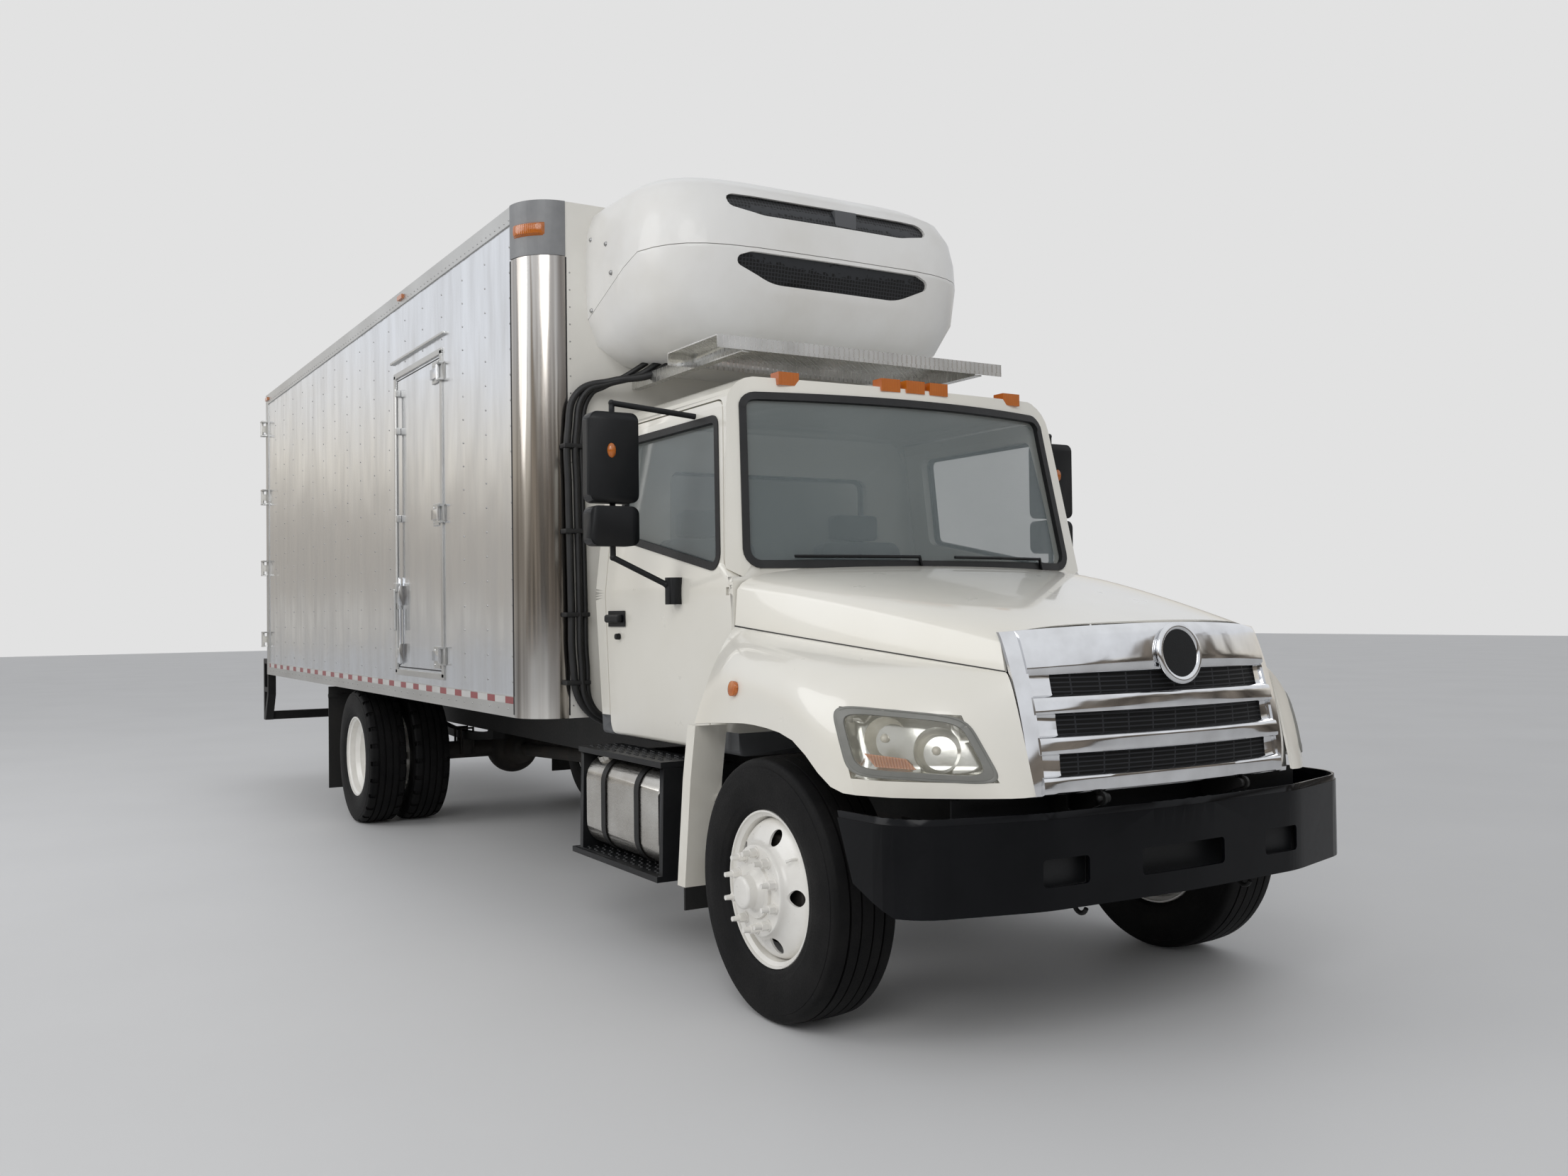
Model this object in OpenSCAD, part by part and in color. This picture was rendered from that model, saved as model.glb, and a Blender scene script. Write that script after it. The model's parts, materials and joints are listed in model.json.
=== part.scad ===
// Refrigerated box truck with a conventional cab.
// Every piece is drawn about the middle of the front axle, at ground level, and set in place by placed(),
// which centres the whole truck on its own frame. +X is forward, +Y is the left side, +Z is up.

/* [Wheels and axles] */
// Distance between the front and rear axles
wheelbase = 5970; // [5400:10:6400]
// Rolling radius of the tyres, which is also the height of the axles
tyre_r = 500; // [490:1:510]
// Width of one tyre across its sidewalls
tyre_w = 280; // [260:1:290]
// Width of the tread
tread_w = 236; // [200:1:250]
// Radius of the rim flange
rim_r = 298; // [285:1:305]
// Width of a rim over its flanges
rim_w = 236; // [220:1:250]
// Distance from the middle of a rim to its disc's mounting face
disc_offset = 165; // [160:1:170]
// Radius of the circle of wheel studs
stud_circle_r = 142.875; // [130:0.125:150]
// Distance from the truck's middle to the middle of a front tyre
front_half_track = 1017; // [1000:1:1030]
// Distance from the truck's middle to the middle of a pair of rear tyres
rear_half_track = 950; // [940:1:955]
// Distance from the truck's middle to a kingpin
kingpin_y = 850; // [845:1:852]

/* [Chassis] */
// Height of the underside of the frame rails
frame_bottom = 700; // [690:1:705]
// Depth of the frame rails
frame_h = 260; // [240:1:262]
// Width of the frame over its rails
frame_w = 864; // [840:1:880]
// Width of a frame rail's flange
flange_w = 80; // [70:1:90]
// Thickness of the frame's steel
frame_t = 10; // [8:1:14]
// Frame length ahead of the front axle
frame_front = 880; // [860:1:890]
// Furthest reach of the front bumper ahead of the front axle
bumper_front = 1030; // [1020:1:1045]
// Height of the bumper's lower edge
bumper_bottom = 535; // [500:1:560]
// Height of the bumper's top
bumper_top = 862; // [850:1:866]

/* [Cab] */
// Widest half of the cab, at its waist
cab_half_w = 1010; // [1000:1:1020]
// Distance from the front axle back to the cab's dash panel
cab_front = 470; // [460:1:480]
// Distance from the front axle back to the cab's rear wall
cab_back_x = 1900; // [1880:1:1930]
// Height of the cab's sills
cab_bottom = 950; // [945:1:955]
// Height of the top of the cab's roof
cab_top = 2640; // [2600:1:2680]
// Thickness of the cab's walls and doors
cab_wall = 62; // [55:1:66]
// Gap round a cab door
door_gap = 8; // [7:0.5:9]
// Widest opening of the cab doors, in degrees
cab_door_open = 70; // [60:1:75]

/* [Hood] */
// Half width of the hood's rear edge
hood_half_w = 1004; // [990:1:1006]
// Half width of the hood at the grille
hood_front_half_w = 655; // [640:1:665]
// Widest half of the fenders
fender_half_w = 1160; // [1150:1:1170]
// Thickness of the hood's moulding
hood_t = 9; // [7:0.5:11]

/* [Box] */
// Width of the box over its rails
box_w = 2590; // [2560:2:2600]
// Length of the box
box_len = 7100; // [7000:10:7150]
// Distance from the front axle back to the box's front wall
box_front = 2095; // [2085:1:2120]
// Height of the underside of the box's lower rails
box_bottom = 1015; // [1010:1:1025]
// Height of the box's roof
box_top = 3700; // [3650:1:3720]
// Radius of the rounded front corners
box_corner_r = 215; // [205:1:220]
// Thickness of the box's side walls and doors
box_wall = 75; // [65:1:80]
// Thickness of the floor
floor_t = 60; // [50:1:70]
// Gap round the box's doors
box_door_gap = 6; // [6:0.5:8]

/* [Refrigeration unit] */
// Widest half of the unit
unit_half_w = 965; // [940:1:980]
// Furthest reach of the unit ahead of the box
unit_depth = 945; // [900:1:960]
// Drop from the box's roof to the unit's underside
unit_drop = 870; // [850:1:875]
// Rise of the unit's top over the box's roof
unit_rise = 25; // [0:1:35]

/* [Hidden] */
$fn = 48;

// Overrun of every cut past the faces that it goes through
over = 5;
// Running clearance round pins and shafts
pin_gap = 0.3;
// Rear end of the dock frame behind the front axle, which with the bumper sets the truck's length
dock_reach = 235;
box_rear = box_front + box_len;
truck_rear = box_rear + dock_reach;
front_axle_x = (truck_rear - bumper_front) / 2;
axle_z = tyre_r;
frame_top = frame_bottom + frame_h;
twin_gap = 2 * disc_offset;
box_half_w = box_w / 2;

module placed() translate([front_axle_x, 0, 0]) children();
module both() { children(); mirror([0, 1, 0]) children(); }
module right_side() mirror([0, 1, 0]) children();
module block(low, high) translate(low) cube(high - low);
// A profile drawn in x and z, extruded from y0 to y1
module side_slab(y0, y1, points) translate([0, y1, 0]) rotate([90, 0, 0]) linear_extrude(y1 - y0)
    polygon(points);
// A profile drawn in y and z, extruded from x0 to x1
module front_slab(x0, x1, points)
    translate([x0, 0, 0]) rotate([90, 0, 90]) linear_extrude(x1 - x0) polygon(points);
// A shape turned about Z is laid with its axis along Y, its top towards the left
module along_y() rotate([-90, 0, 0]) children();
module along_x() rotate([0, 90, 0]) children();

function lerp(a, b, t) = a + (b - a) * t;
function unit(v) = v / norm(v);
function bezier(a, b, c, d, t) =
    a * pow(1 - t, 3) + 3 * b * t * pow(1 - t, 2) + 3 * c * t * t * (1 - t) + d * pow(t, 3);
// One corner, b, of an outline from a to c, rounded by r
function corner_arc(a, b, c, r, n) =
    r == 0 ? [b] :
    let (u = unit(a - b), v = unit(c - b), half = acos(u * v) / 2, mid = b + unit(u + v) * r / sin(half),
         s = b + u * r / tan(half) - mid, e = b + v * r / tan(half) - mid,
         from = atan2(s[1], s[0]), turn = atan2(e[1], e[0]) - from,
         sweep = turn > 180 ? turn - 360 : turn < -180 ? turn + 360 : turn)
    [for (i = [0:n]) mid + r * [cos(from + sweep * i / n), sin(from + sweep * i / n)]];
// A closed outline whose rows are [across, up, corner radius]
function round_path(rows, n = 5) = [
    for (i = [0:len(rows) - 1])
        let (a = rows[(i + len(rows) - 1) % len(rows)], b = rows[i], c = rows[(i + 1) % len(rows)])
        each corner_arc([a[0], a[1]], [b[0], b[1]], [c[0], c[1]], b[2], n)];
// The same rows with every edge moved out by g, for an outline that runs anticlockwise
function grown(rows, g) = [
    for (i = [0:len(rows) - 1])
        let (a = rows[(i + len(rows) - 1) % len(rows)], b = rows[i], c = rows[(i + 1) % len(rows)],
             d1 = unit([b[0] - a[0], b[1] - a[1]]), d2 = unit([c[0] - b[0], c[1] - b[1]]),
             n1 = [d1[1], -d1[0]], n2 = [d2[1], -d2[0]], m = (n1 + n2) * g / (1 + n1 * n2))
        [b[0] + m[0], b[1] + m[1], max(0, b[2] + g)]];

// A thick panel between an outer and an inner grid of points, without the cells that keep() turns down
module panel(outer, inner, keep) {
    ni = len(outer);
    nj = len(outer[0]);
    total = ni * nj;
    kept = function (i, j) i >= 0 && j >= 0 && i < ni - 1 && j < nj - 1 && keep(i, j);
    rim = function (p, q) [[q, p, p + total], [q, p + total, q + total]];
    faces = [
        for (i = [0:ni - 2]) for (j = [0:nj - 2]) if (kept(i, j))
            let (a = i * nj + j, b = a + nj, c = b + 1, d = a + 1)
            each concat(
                [[a, b, c], [a, c, d], [c + total, b + total, a + total],
                    [d + total, c + total, a + total]],
                kept(i, j - 1) ? [] : rim(a, b), kept(i + 1, j) ? [] : rim(b, c),
                kept(i, j + 1) ? [] : rim(c, d), kept(i - 1, j) ? [] : rim(d, a))];
    polyhedron([each for (row = outer) row, each for (row = inner) row], faces, convexity = 6);
}
// A closed solid lofted through rings of points, from the first ring to the last
module loft(rings) {
    n = len(rings[0]);
    last = (len(rings) - 1) * n;
    faces = [
        [for (j = [0:n - 1]) j],
        [for (j = [n - 1:-1:0]) last + j],
        for (i = [0:len(rings) - 2]) for (j = [0:n - 1])
            let (a = i * n + j, b = i * n + (j + 1) % n, c = a + n, d = b + n) each [[a, c, d], [a, d, b]]];
    polyhedron([each for (ring = rings) ring], faces, convexity = 6);
}

// Wheels, drawn about their own axle with the outer side towards +Z

bead_half = rim_w / 2 - 20;
bulge_round = 70;
shoulder_round = 25;
bulge_share = 0.78;
module tyre_ring() {
    half = round_path([
        [rim_r - 14, bead_half, 0], [tyre_r * bulge_share, tyre_w / 2, bulge_round],
        [tyre_r, tread_w / 2, shoulder_round], [tyre_r, -tread_w / 2, shoulder_round],
        [tyre_r * bulge_share, -tyre_w / 2, bulge_round], [rim_r - 14, -bead_half, 0]], 3);
    rotate_extrude($fn = 64) polygon(half);
}
rim_t = 11;
seat_r = rim_r - 14 - pin_gap;
well_r = 250;
hub_bore_r = 110;
hand_hole_r = 31;
hand_hole_circle_r = 205;
HAND_HOLES = 5;
// Rim barrel: flanges, bead seats and drop well
module rim_ring() {
    outer = [[rim_r, rim_w / 2], [rim_r, bead_half + rim_t], [seat_r, bead_half], [seat_r - 4, rim_w / 4],
             [well_r, rim_w / 8], [well_r, -rim_w / 8], [seat_r - 4, -rim_w / 4], [seat_r, -bead_half],
             [rim_r, -bead_half - rim_t], [rim_r, -rim_w / 2]];
    inner = [for (i = [len(outer) - 1:-1:0]) [outer[i][0] - rim_t, outer[i][1]]];
    rotate_extrude($fn = 64) polygon(concat(outer, inner));
}
// Disc: it leaves the drop well and rises to its mounting face, with round hand holes
disc_foot_r = well_r - rim_t + 1;
disc_face_r = stud_circle_r + 28;
disc_wall = 6;
// Outer and inner side of the disc as [radius, distance from the mounting face], from the rim to the face
disc_outer = [[disc_foot_r, disc_offset + rim_w / 8], [disc_foot_r, disc_offset - rim_w / 8],
              [hand_hole_circle_r + hand_hole_r, disc_offset - rim_w / 3], [disc_face_r, 0]];
disc_inner = [[hub_bore_r - rim_t, rim_t], [disc_face_r - disc_wall, rim_t],
              [hand_hole_circle_r + hand_hole_r - rim_t, disc_offset - rim_w / 4]];
module hand_holes(reach) for (i = [0:HAND_HOLES - 1]) rotate([0, 0, i * 360 / HAND_HOLES])
    translate([hand_hole_circle_r, 0, -reach]) cylinder(r = hand_hole_r, h = 2 * reach, $fn = 32);
module disc() difference() {
    translate([0, 0, disc_offset]) rotate_extrude($fn = 64)
        polygon([for (p = concat(disc_outer, [[hub_bore_r - rim_t, 0]], disc_inner)) [p[0], -p[1]]]);
    hand_holes(disc_offset + over);
}
// The discs of a pair of twin wheels, back to back about the pair's middle
module twin_discs() difference() {
    rotate_extrude($fn = 64) polygon(concat(disc_outer,
        [for (i = [2:-1:0]) [disc_outer[i][0], -disc_outer[i][1]]],
        [for (i = [2:-1:0]) [disc_inner[i][0], -disc_inner[i][1]]], disc_inner));
    hand_holes(disc_offset);
}
hub_r = 104;
hub_cap_r = 62;
hub_cap_h = 62;
drum_r = 205;
drum_w = 150;
spindle_r = 45;
spindle_tip = 20;
hub_dome_share = 0.8;
// Front hub and brake drum, bored for the spindle
module front_hub() {
    difference() {
        union() {
            translate([0, 0, disc_offset - rim_t - drum_w]) cylinder(r = drum_r, h = drum_w);
            cylinder(r = hub_r, h = disc_offset + rim_t);
            translate([0, 0, disc_offset + rim_t]) cylinder(r1 = hub_cap_r / hub_dome_share, r2 = hub_cap_r,
                h = hub_cap_h / 3);
            translate([0, 0, disc_offset + rim_t]) cylinder(r = hub_cap_r, h = hub_cap_h);
        }
        translate([0, 0, -disc_offset]) cylinder(r = spindle_r + pin_gap,
            h = 2 * disc_offset - spindle_tip);
    }
}
module front_wheel_ring() { rim_ring(); disc(); front_hub(); }
// Twin rear wheels: their discs meet back to back on the hub, half way between the tyres
rear_hub_h = 120;
rear_drum_r = 185;
rear_drum_set = 64;
module rear_wheel_pair() {
    for (side = [-1, 1]) translate([0, 0, side * twin_gap / 2]) rim_ring();
    twin_discs();
    bore = spindle_r + pin_gap;
    rotate_extrude() polygon([
        [0, spindle_tip], [bore, spindle_tip], [bore, -rim_t - drum_w], [rear_drum_r, -rim_t - drum_w],
        [rear_drum_r, -rear_drum_set], [hub_r, -rear_drum_set], [hub_r, rim_t],
        [hub_r * hub_dome_share, rear_hub_h], [0, rear_hub_h]]);
}
module at_front_wheel() translate([0, front_half_track, axle_z]) along_y() children();
module at_rear_wheels() translate([-wheelbase, rear_half_track, axle_z]) along_y() children();
module tyre_front_left() color("#1b1b1c") at_front_wheel() tyre_ring();
module wheel_front_left() color("#eceae4") at_front_wheel() front_wheel_ring();
module tyres_rear_left() color("#1b1b1c") at_rear_wheels()
    for (side = [-1, 1]) translate([0, 0, side * twin_gap / 2]) tyre_ring();
module wheels_rear_left() color("#eceae4") at_rear_wheels() rear_wheel_pair();

// Steered front axle

kingpin_r = 22;
eye_r = 44;
eye_h = 110;
lug_h = 36;
lug_gap = 1;
web_t = 24;
arm_w = 40;
arm_reach = 200;
stud_r = 10;
stud_clear = 2;
tie_rod_r = 18;
tie_rod_drop = 34;
beam_w = 90;
beam_h = 110;
beam_web = 36;
beam_drop = 60;
beam_lift_y = 620;
spring_y = frame_w / 2 - flange_w / 2;
web_y = kingpin_y + eye_r + 6;
lug_bottom = axle_z - eye_h / 2 - lug_gap - lug_h;
module knuckle_left() color("#2a2a2c") difference() {
    union() {
        translate([0, kingpin_y, lug_bottom]) cylinder(r = kingpin_r, h = eye_h + 2 * (lug_gap + lug_h));
        for (z = [lug_bottom, axle_z + eye_h / 2 + lug_gap]) {
            translate([0, kingpin_y, z]) cylinder(r = eye_r, h = lug_h);
            block([-eye_r, kingpin_y, z], [eye_r, web_y + web_t, z + lug_h]);
        }
        block([-eye_r, web_y, lug_bottom], [eye_r, web_y + web_t,
            lug_bottom + eye_h + 2 * (lug_gap + lug_h)]);
        translate([0, web_y, axle_z]) along_y()
            cylinder(r = spindle_r, h = front_half_track + disc_offset - 2 * spindle_tip - web_y);
        block([-arm_reach, kingpin_y - arm_w / 2, lug_bottom],
            [0, kingpin_y + arm_w / 2, lug_bottom + lug_h * 2 / 3]);
        translate([-arm_reach, kingpin_y, lug_bottom]) cylinder(r = arm_w / 2, h = lug_h * 2 / 3);
    }
    translate([-arm_reach, kingpin_y, lug_bottom - over]) cylinder(r = stud_r + pin_gap, h = lug_h + over);
}
// The tie rod hangs under the arms by a stud at each end, so that the arms and rod stay a parallelogram
module tie_rod() color("#2a2a2c") {
    z = lug_bottom - tie_rod_drop;
    translate([-arm_reach, -kingpin_y, z]) along_y() cylinder(r = tie_rod_r, h = 2 * kingpin_y);
    both() translate([-arm_reach, kingpin_y, 0]) {
        translate([0, 0, z]) cylinder(r = stud_r, h = tie_rod_drop + lug_h * 2 / 3);
        translate([0, 0, z - tie_rod_r]) cylinder(r = tie_rod_r + stud_clear,
            h = tie_rod_drop + tie_rod_r - stud_clear);
    }
}
spring_pad_h = 20;
pad_len = 160;
// Forged beam: it drops between the springs and rises to the kingpin eyes
module front_axle() color("#242426") {
    low = axle_z - beam_drop;
    beam = [[-beam_lift_y, low + beam_h / 2], [-beam_lift_y, low - beam_h / 2],
        [beam_lift_y, low - beam_h / 2],
            [beam_lift_y, low + beam_h / 2]];
    arm = [[beam_lift_y - beam_h, low - beam_h / 2], [kingpin_y - eye_r - over, axle_z - eye_h / 2],
           [kingpin_y, axle_z - eye_h / 2], [kingpin_y, axle_z + eye_h / 2],
           [beam_lift_y - beam_h, low + beam_h / 2]];
    difference() {
        union() {
            difference() {
                front_slab(-beam_w / 2, beam_w / 2, beam);
                for (x = [-beam_w, beam_web / 2]) translate([x, -beam_lift_y + beam_h, low - beam_h / 4])
                    cube([beam_w - beam_web / 2, 2 * (beam_lift_y - beam_h), beam_h / 2]);
            }
            both() {
                front_slab(-beam_web, beam_web, arm);
                translate([0, kingpin_y, axle_z - eye_h / 2]) cylinder(r = eye_r, h = eye_h);
                block([-pad_len / 2, spring_y - spring_w / 2, low],
                    [pad_len / 2, spring_y + spring_w / 2, low + beam_h / 2 + spring_pad_h]);
            }
        }
        both() translate([0, kingpin_y, 0]) cylinder(r = kingpin_r + pin_gap, h = 2 * axle_z);
    }
}

// Rear axle and driveline

axle_tube_r = 68;
bowl_r = 205;
nose_len = 330;
nose_r = 90;
shaft_r = 50;
gearbox_rear = 1230;
shaft_gap = 3;
gearbox_z = 690;
// Banjo housing with its nose and propeller shaft
module rear_axle() color("#242426") {
    translate([-wheelbase, 0, axle_z]) {
        inner_y = rear_half_track - rim_t - drum_w - rim_t;
        translate([0, -inner_y, 0]) along_y() cylinder(r = axle_tube_r, h = 2 * inner_y);
        spindle_y = rear_half_track - spindle_tip;
        translate([0, -spindle_y, 0]) along_y() cylinder(r = spindle_r, h = 2 * spindle_y);
        sphere(r = bowl_r);
        along_x() cylinder(r1 = bowl_r * hub_dome_share, r2 = nose_r, h = nose_len);
        both() block([-pad_len / 2, spring_y - spring_w / 2, 0],
                     [pad_len / 2, spring_y + spring_w / 2, axle_tube_r + spring_pad_h]);
    }
    run = [wheelbase - nose_len - gearbox_rear - shaft_gap, gearbox_z - axle_z];
    translate([-wheelbase + nose_len, 0, axle_z]) rotate([0, -atan2(run[1], run[0]), 0]) along_x()
        cylinder(r = shaft_r, h = norm(run));
}
spring_w = 76;
spring_t = 60;
front_spring_len = 1300;
rear_spring_len = 1500;
hanger_w = 120;
hanger_r = 30;
hanger_lip = 7;
// A leaf pack bowed between its hangers, which stand under the frame rails; seat is the pack's underside
module leaf_pack(len, seat) {
    rise = frame_bottom - hanger_r - seat - spring_t / 2;
    bow_r = (len * len / 4 + rise * rise) / (2 * rise);
    translate([0, spring_y - spring_w / 2, 0]) {
        translate([0, spring_w, seat + bow_r]) rotate([90, 0, 0])
            rotate([0, 0, -90 - asin(len / 2 / bow_r)])
            rotate_extrude(angle = 2 * asin(len / 2 / bow_r), $fn = 96)
            translate([bow_r - spring_t, 0]) square([spring_t, spring_w]);
        for (side = [-1, 1]) translate([side * len / 2, 0, 0])
            block([-hanger_w / 2, -hanger_lip, frame_bottom - 2 * hanger_r],
                  [hanger_w / 2, spring_w + hanger_lip, frame_bottom]);
    }
}
module leaf_springs() color("#1d1d1f") both() {
    leaf_pack(front_spring_len, axle_z - beam_drop + beam_h / 2 + spring_pad_h);
    translate([-wheelbase, 0, 0]) leaf_pack(rear_spring_len, axle_z + axle_tube_r + spring_pad_h);
}

// Frame

cross_t = 60;
cross_h_share = 0.7;
// Places of the cross members along the frame, as shares of its length from the front
cross_shares = [0.012, 0.235, 0.31, 0.4, 0.53, 0.63, 0.76, 0.88, 0.985];
hood_pivot_x = 985;
hood_pivot_z = 890;
hood_pin_r = 11;
hood_boss_r = 16;
hood_lug_r = 20;
hood_lug_gap = 5;
hood_pin_y = 352;
hood_ear_t = 16;
frame_rear = box_rear - 40;
module frame_rails() color("#1d1d1f") {
    frame_len = frame_front + frame_rear;
    section = [[0, 0], [flange_w, 0], [flange_w, frame_t], [frame_t, frame_t], [frame_t, frame_h - frame_t],
               [flange_w, frame_h - frame_t], [flange_w, frame_h], [0, frame_h]];
    rail = [for (p = section) [p[0] - frame_w / 2, p[1] + frame_bottom]];
    both() front_slab(-frame_rear, frame_front, rail);
    for (share = cross_shares)
        translate([frame_front - share * frame_len - cross_t / 2, (frame_t - frame_w) / 2,
            frame_bottom + frame_h * (1 - cross_h_share) / 2])
        cube([cross_t, frame_w - frame_t, frame_h * cross_h_share]);
    // Ears at the front carry the hood's pivot pins
    ear = [[frame_front - frame_h / 2, frame_top - frame_h / 2], [frame_front, frame_top - frame_h / 2],
           [hood_pivot_x, hood_pivot_z - hood_boss_r], [hood_pivot_x, hood_pivot_z + hood_boss_r],
           [frame_front - frame_h / 2, frame_top]];
    both() {
        side_slab(hood_pin_y - hood_ear_t, hood_pin_y, ear);
        translate([hood_pivot_x, hood_pin_y - hood_ear_t, hood_pivot_z]) along_y()
            cylinder(r = hood_boss_r, h = hood_ear_t);
        translate([hood_pivot_x, hood_pin_y - over, hood_pivot_z]) along_y()
            cylinder(r = hood_pin_r, h = 2 * hood_ear_t + over);
        block([frame_front - frame_h / 2, hood_pin_y - hood_ear_t, frame_top - frame_h / 2],
              [frame_front - frame_h / 4, frame_w / 2 - frame_t / 2, frame_top - frame_h / 4]);
    }
}
engine_len = 960;
engine_w = 640;
engine_bottom = 560;
engine_top = 1330;
gearbox_w = 380;
gearbox_h = 330;
radiator_x = 740;
radiator_t = 90;
radiator_w = 800;
radiator_top = 1390;
engine_mount_h = 90;
engine_set = 40;
engine_round = 60;
sump_step = 20;
sump_round = 30;
bell_rise = 100;
// Plain engine and gearbox block with the radiator ahead of it
module engine() color("#4a4b4c") {
    rear = cab_front - over;
    engine = round_path([[-rear + engine_set, frame_top + sump_step, sump_round],
        [engine_len - rear, frame_top, engine_round],
                         [engine_len - rear, engine_top, engine_round],
                             [-rear + engine_set, engine_top, engine_round]]);
    side_slab(-engine_w / 2, engine_w / 2, engine);
    block([-rear + engine_set, -gearbox_w / 2, engine_bottom + gearbox_h / 2],
          [engine_len - rear, gearbox_w / 2, frame_top + bell_rise]);
    block([-gearbox_rear, -gearbox_w / 2, gearbox_z - gearbox_h / 2],
        [-rear + engine_set, gearbox_w / 2, gearbox_z + gearbox_h / 2]);
    block([-rear + 2 * engine_mount_h, -frame_w / 2 + frame_t, frame_top - engine_mount_h - frame_t],
          [-rear + 3 * engine_mount_h, frame_w / 2 - frame_t, frame_top - 2 * frame_t]);
    block([radiator_x - radiator_t, -radiator_w / 2, frame_top],
        [radiator_x, radiator_w / 2, radiator_top]);
}
muffler_r = 130;
muffler_len = 900;
muffler_x = 2350;
pipe_r = 50;
pipe_y = 620;
// Silencer hung under the left rail, with its pipe running forward and its tail pipe turned out behind
module exhaust() color("#6d6a66") {
    z = frame_bottom - muffler_r / 2;
    translate([-muffler_x - muffler_len, pipe_y, z]) along_x() cylinder(r = muffler_r, h = muffler_len);
    translate([-muffler_x - muffler_len - muffler_r * 3, pipe_y, z]) along_x()
        cylinder(r = pipe_r, h = muffler_len + muffler_r * 4);
    for (x = [muffler_x + muffler_len / 4, muffler_x + muffler_len * 3 / 4])
        block([-x - pipe_r, frame_w / 2, frame_bottom + frame_t],
            [-x + pipe_r, pipe_y + pipe_r, frame_bottom + muffler_r / 2]);
}

// Cab shell, cut into its floor, front, back and roof

roof_half_w = 912;
roof_side_z = 2575;
waist_z = 1650;
floor_raise = 25;
tunnel_half_w = 560;
ws_top_half = 843;
ws_bottom_half = 905;
ws_top = 2492;
ws_bottom = 1752;
ws_rake = 10.8;
ws_bow = 150;
ws_front = 385;
pillar_half = 950;
pillar_drop = 15;
bow_half = 880;
cowl_z = 1700;
waist_round = 400;
roof_round = 2400;
rear_round = 500;
roof_long_round = 900;
cowl_reach = 340;
roof_split = 2505;
back_split = 1792;
floor_plate_z = frame_top + floor_raise;
roof_edge_r = 150;
FRONT_STEPS = 24;
function cab_front_view(t) = let (w = cab_half_w - t, low = t == 0 ? cab_bottom : floor_plate_z + t)
    round_path(concat(
    t == 0 ? [[-tunnel_half_w, low, 0], [-tunnel_half_w, floor_plate_z, 0],
        [tunnel_half_w, floor_plate_z, 0], [tunnel_half_w, low, 0]] : [],
    [[w - floor_raise, low, floor_raise], [w, waist_z, waist_round],
        [roof_half_w - t, roof_side_z - t, roof_edge_r],
     [0, cab_top - t, roof_round], [t - roof_half_w, roof_side_z - t, roof_edge_r],
         [-w, waist_z, waist_round], [floor_raise - w, low, floor_raise]]));
function cab_side_view(t) = let (low = cab_bottom - over, rear = t - cab_back_x) round_path([
    [rear + floor_raise, low, 0], [-cab_front - t, low, 0], [-cab_front - t, cowl_z, 0],
    [-cowl_reach - t, cowl_z + floor_raise, 0], [-cowl_reach - t, cab_top - t, 0],
        [-ws_front - roof_edge_r, cab_top - t - floor_raise * 3, 0],
    [-cab_back_x / 2 - roof_edge_r, cab_top - t + over, roof_long_round],
        [rear + floor_raise, cab_top - t - floor_raise, roof_edge_r - t], [rear, waist_z, rear_round]]);
// Plan of the windscreen and pillars: a bow that falls away faster round the pillars
function cab_plan(t) = let (w = cab_half_w + over) concat(
    [[-cab_back_x, w], [-cab_back_x, -w]],
    [for (i = [0:FRONT_STEPS]) let (y = lerp(-w, w, i / FRONT_STEPS),
        b = min(abs(y), bow_half) / ws_bottom_half,
            p = max(0, (abs(y) - pillar_half + t) / (cab_half_w - pillar_half)))
        [-ws_bow * b * b - pillar_drop * p * p, y]]);
module cab_solid(t) intersection() {
    front_slab(-cab_back_x - over, 0, cab_front_view(t));
    side_slab(-cab_half_w - over, cab_half_w + over, cab_side_view(t));
    union() {
        translate([-ws_front - t, 0, ws_bottom]) rotate([0, -ws_rake, 0]) translate([0, 0, -ws_bottom])
            linear_extrude(2 * ws_bottom) polygon(cab_plan(t));
        block([-cab_back_x - over, -cab_half_w - over, 0], [0, cab_half_w + over, cowl_z - t]);
    }
}
module cab_shell() difference() {
    cab_solid(0);
    cab_solid(cab_wall);
    front_slab(-ws_front - cab_wall * 7, 0, round_path(ws_rows(0)));
    front_slab(-cab_back_x - over, -cab_back_x + 2 * cab_wall, round_path(back_window_rows(0)));
}
ws_corner_r = 60;
function ws_rows(g) = grown([[-ws_bottom_half, ws_bottom, ws_corner_r],
    [ws_bottom_half, ws_bottom, ws_corner_r],
                            [ws_top_half, ws_top, ws_corner_r], [-ws_top_half, ws_top, ws_corner_r]], g);
back_window_half = 620;
back_window_low = 1800;
back_window_top = 2290;
function back_window_rows(g) = grown([[-back_window_half, back_window_low, ws_corner_r],
    [back_window_half, back_window_low, ws_corner_r],
                                     [back_window_half, back_window_top, ws_corner_r],
                                         [-back_window_half, back_window_top, ws_corner_r]], g);
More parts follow.
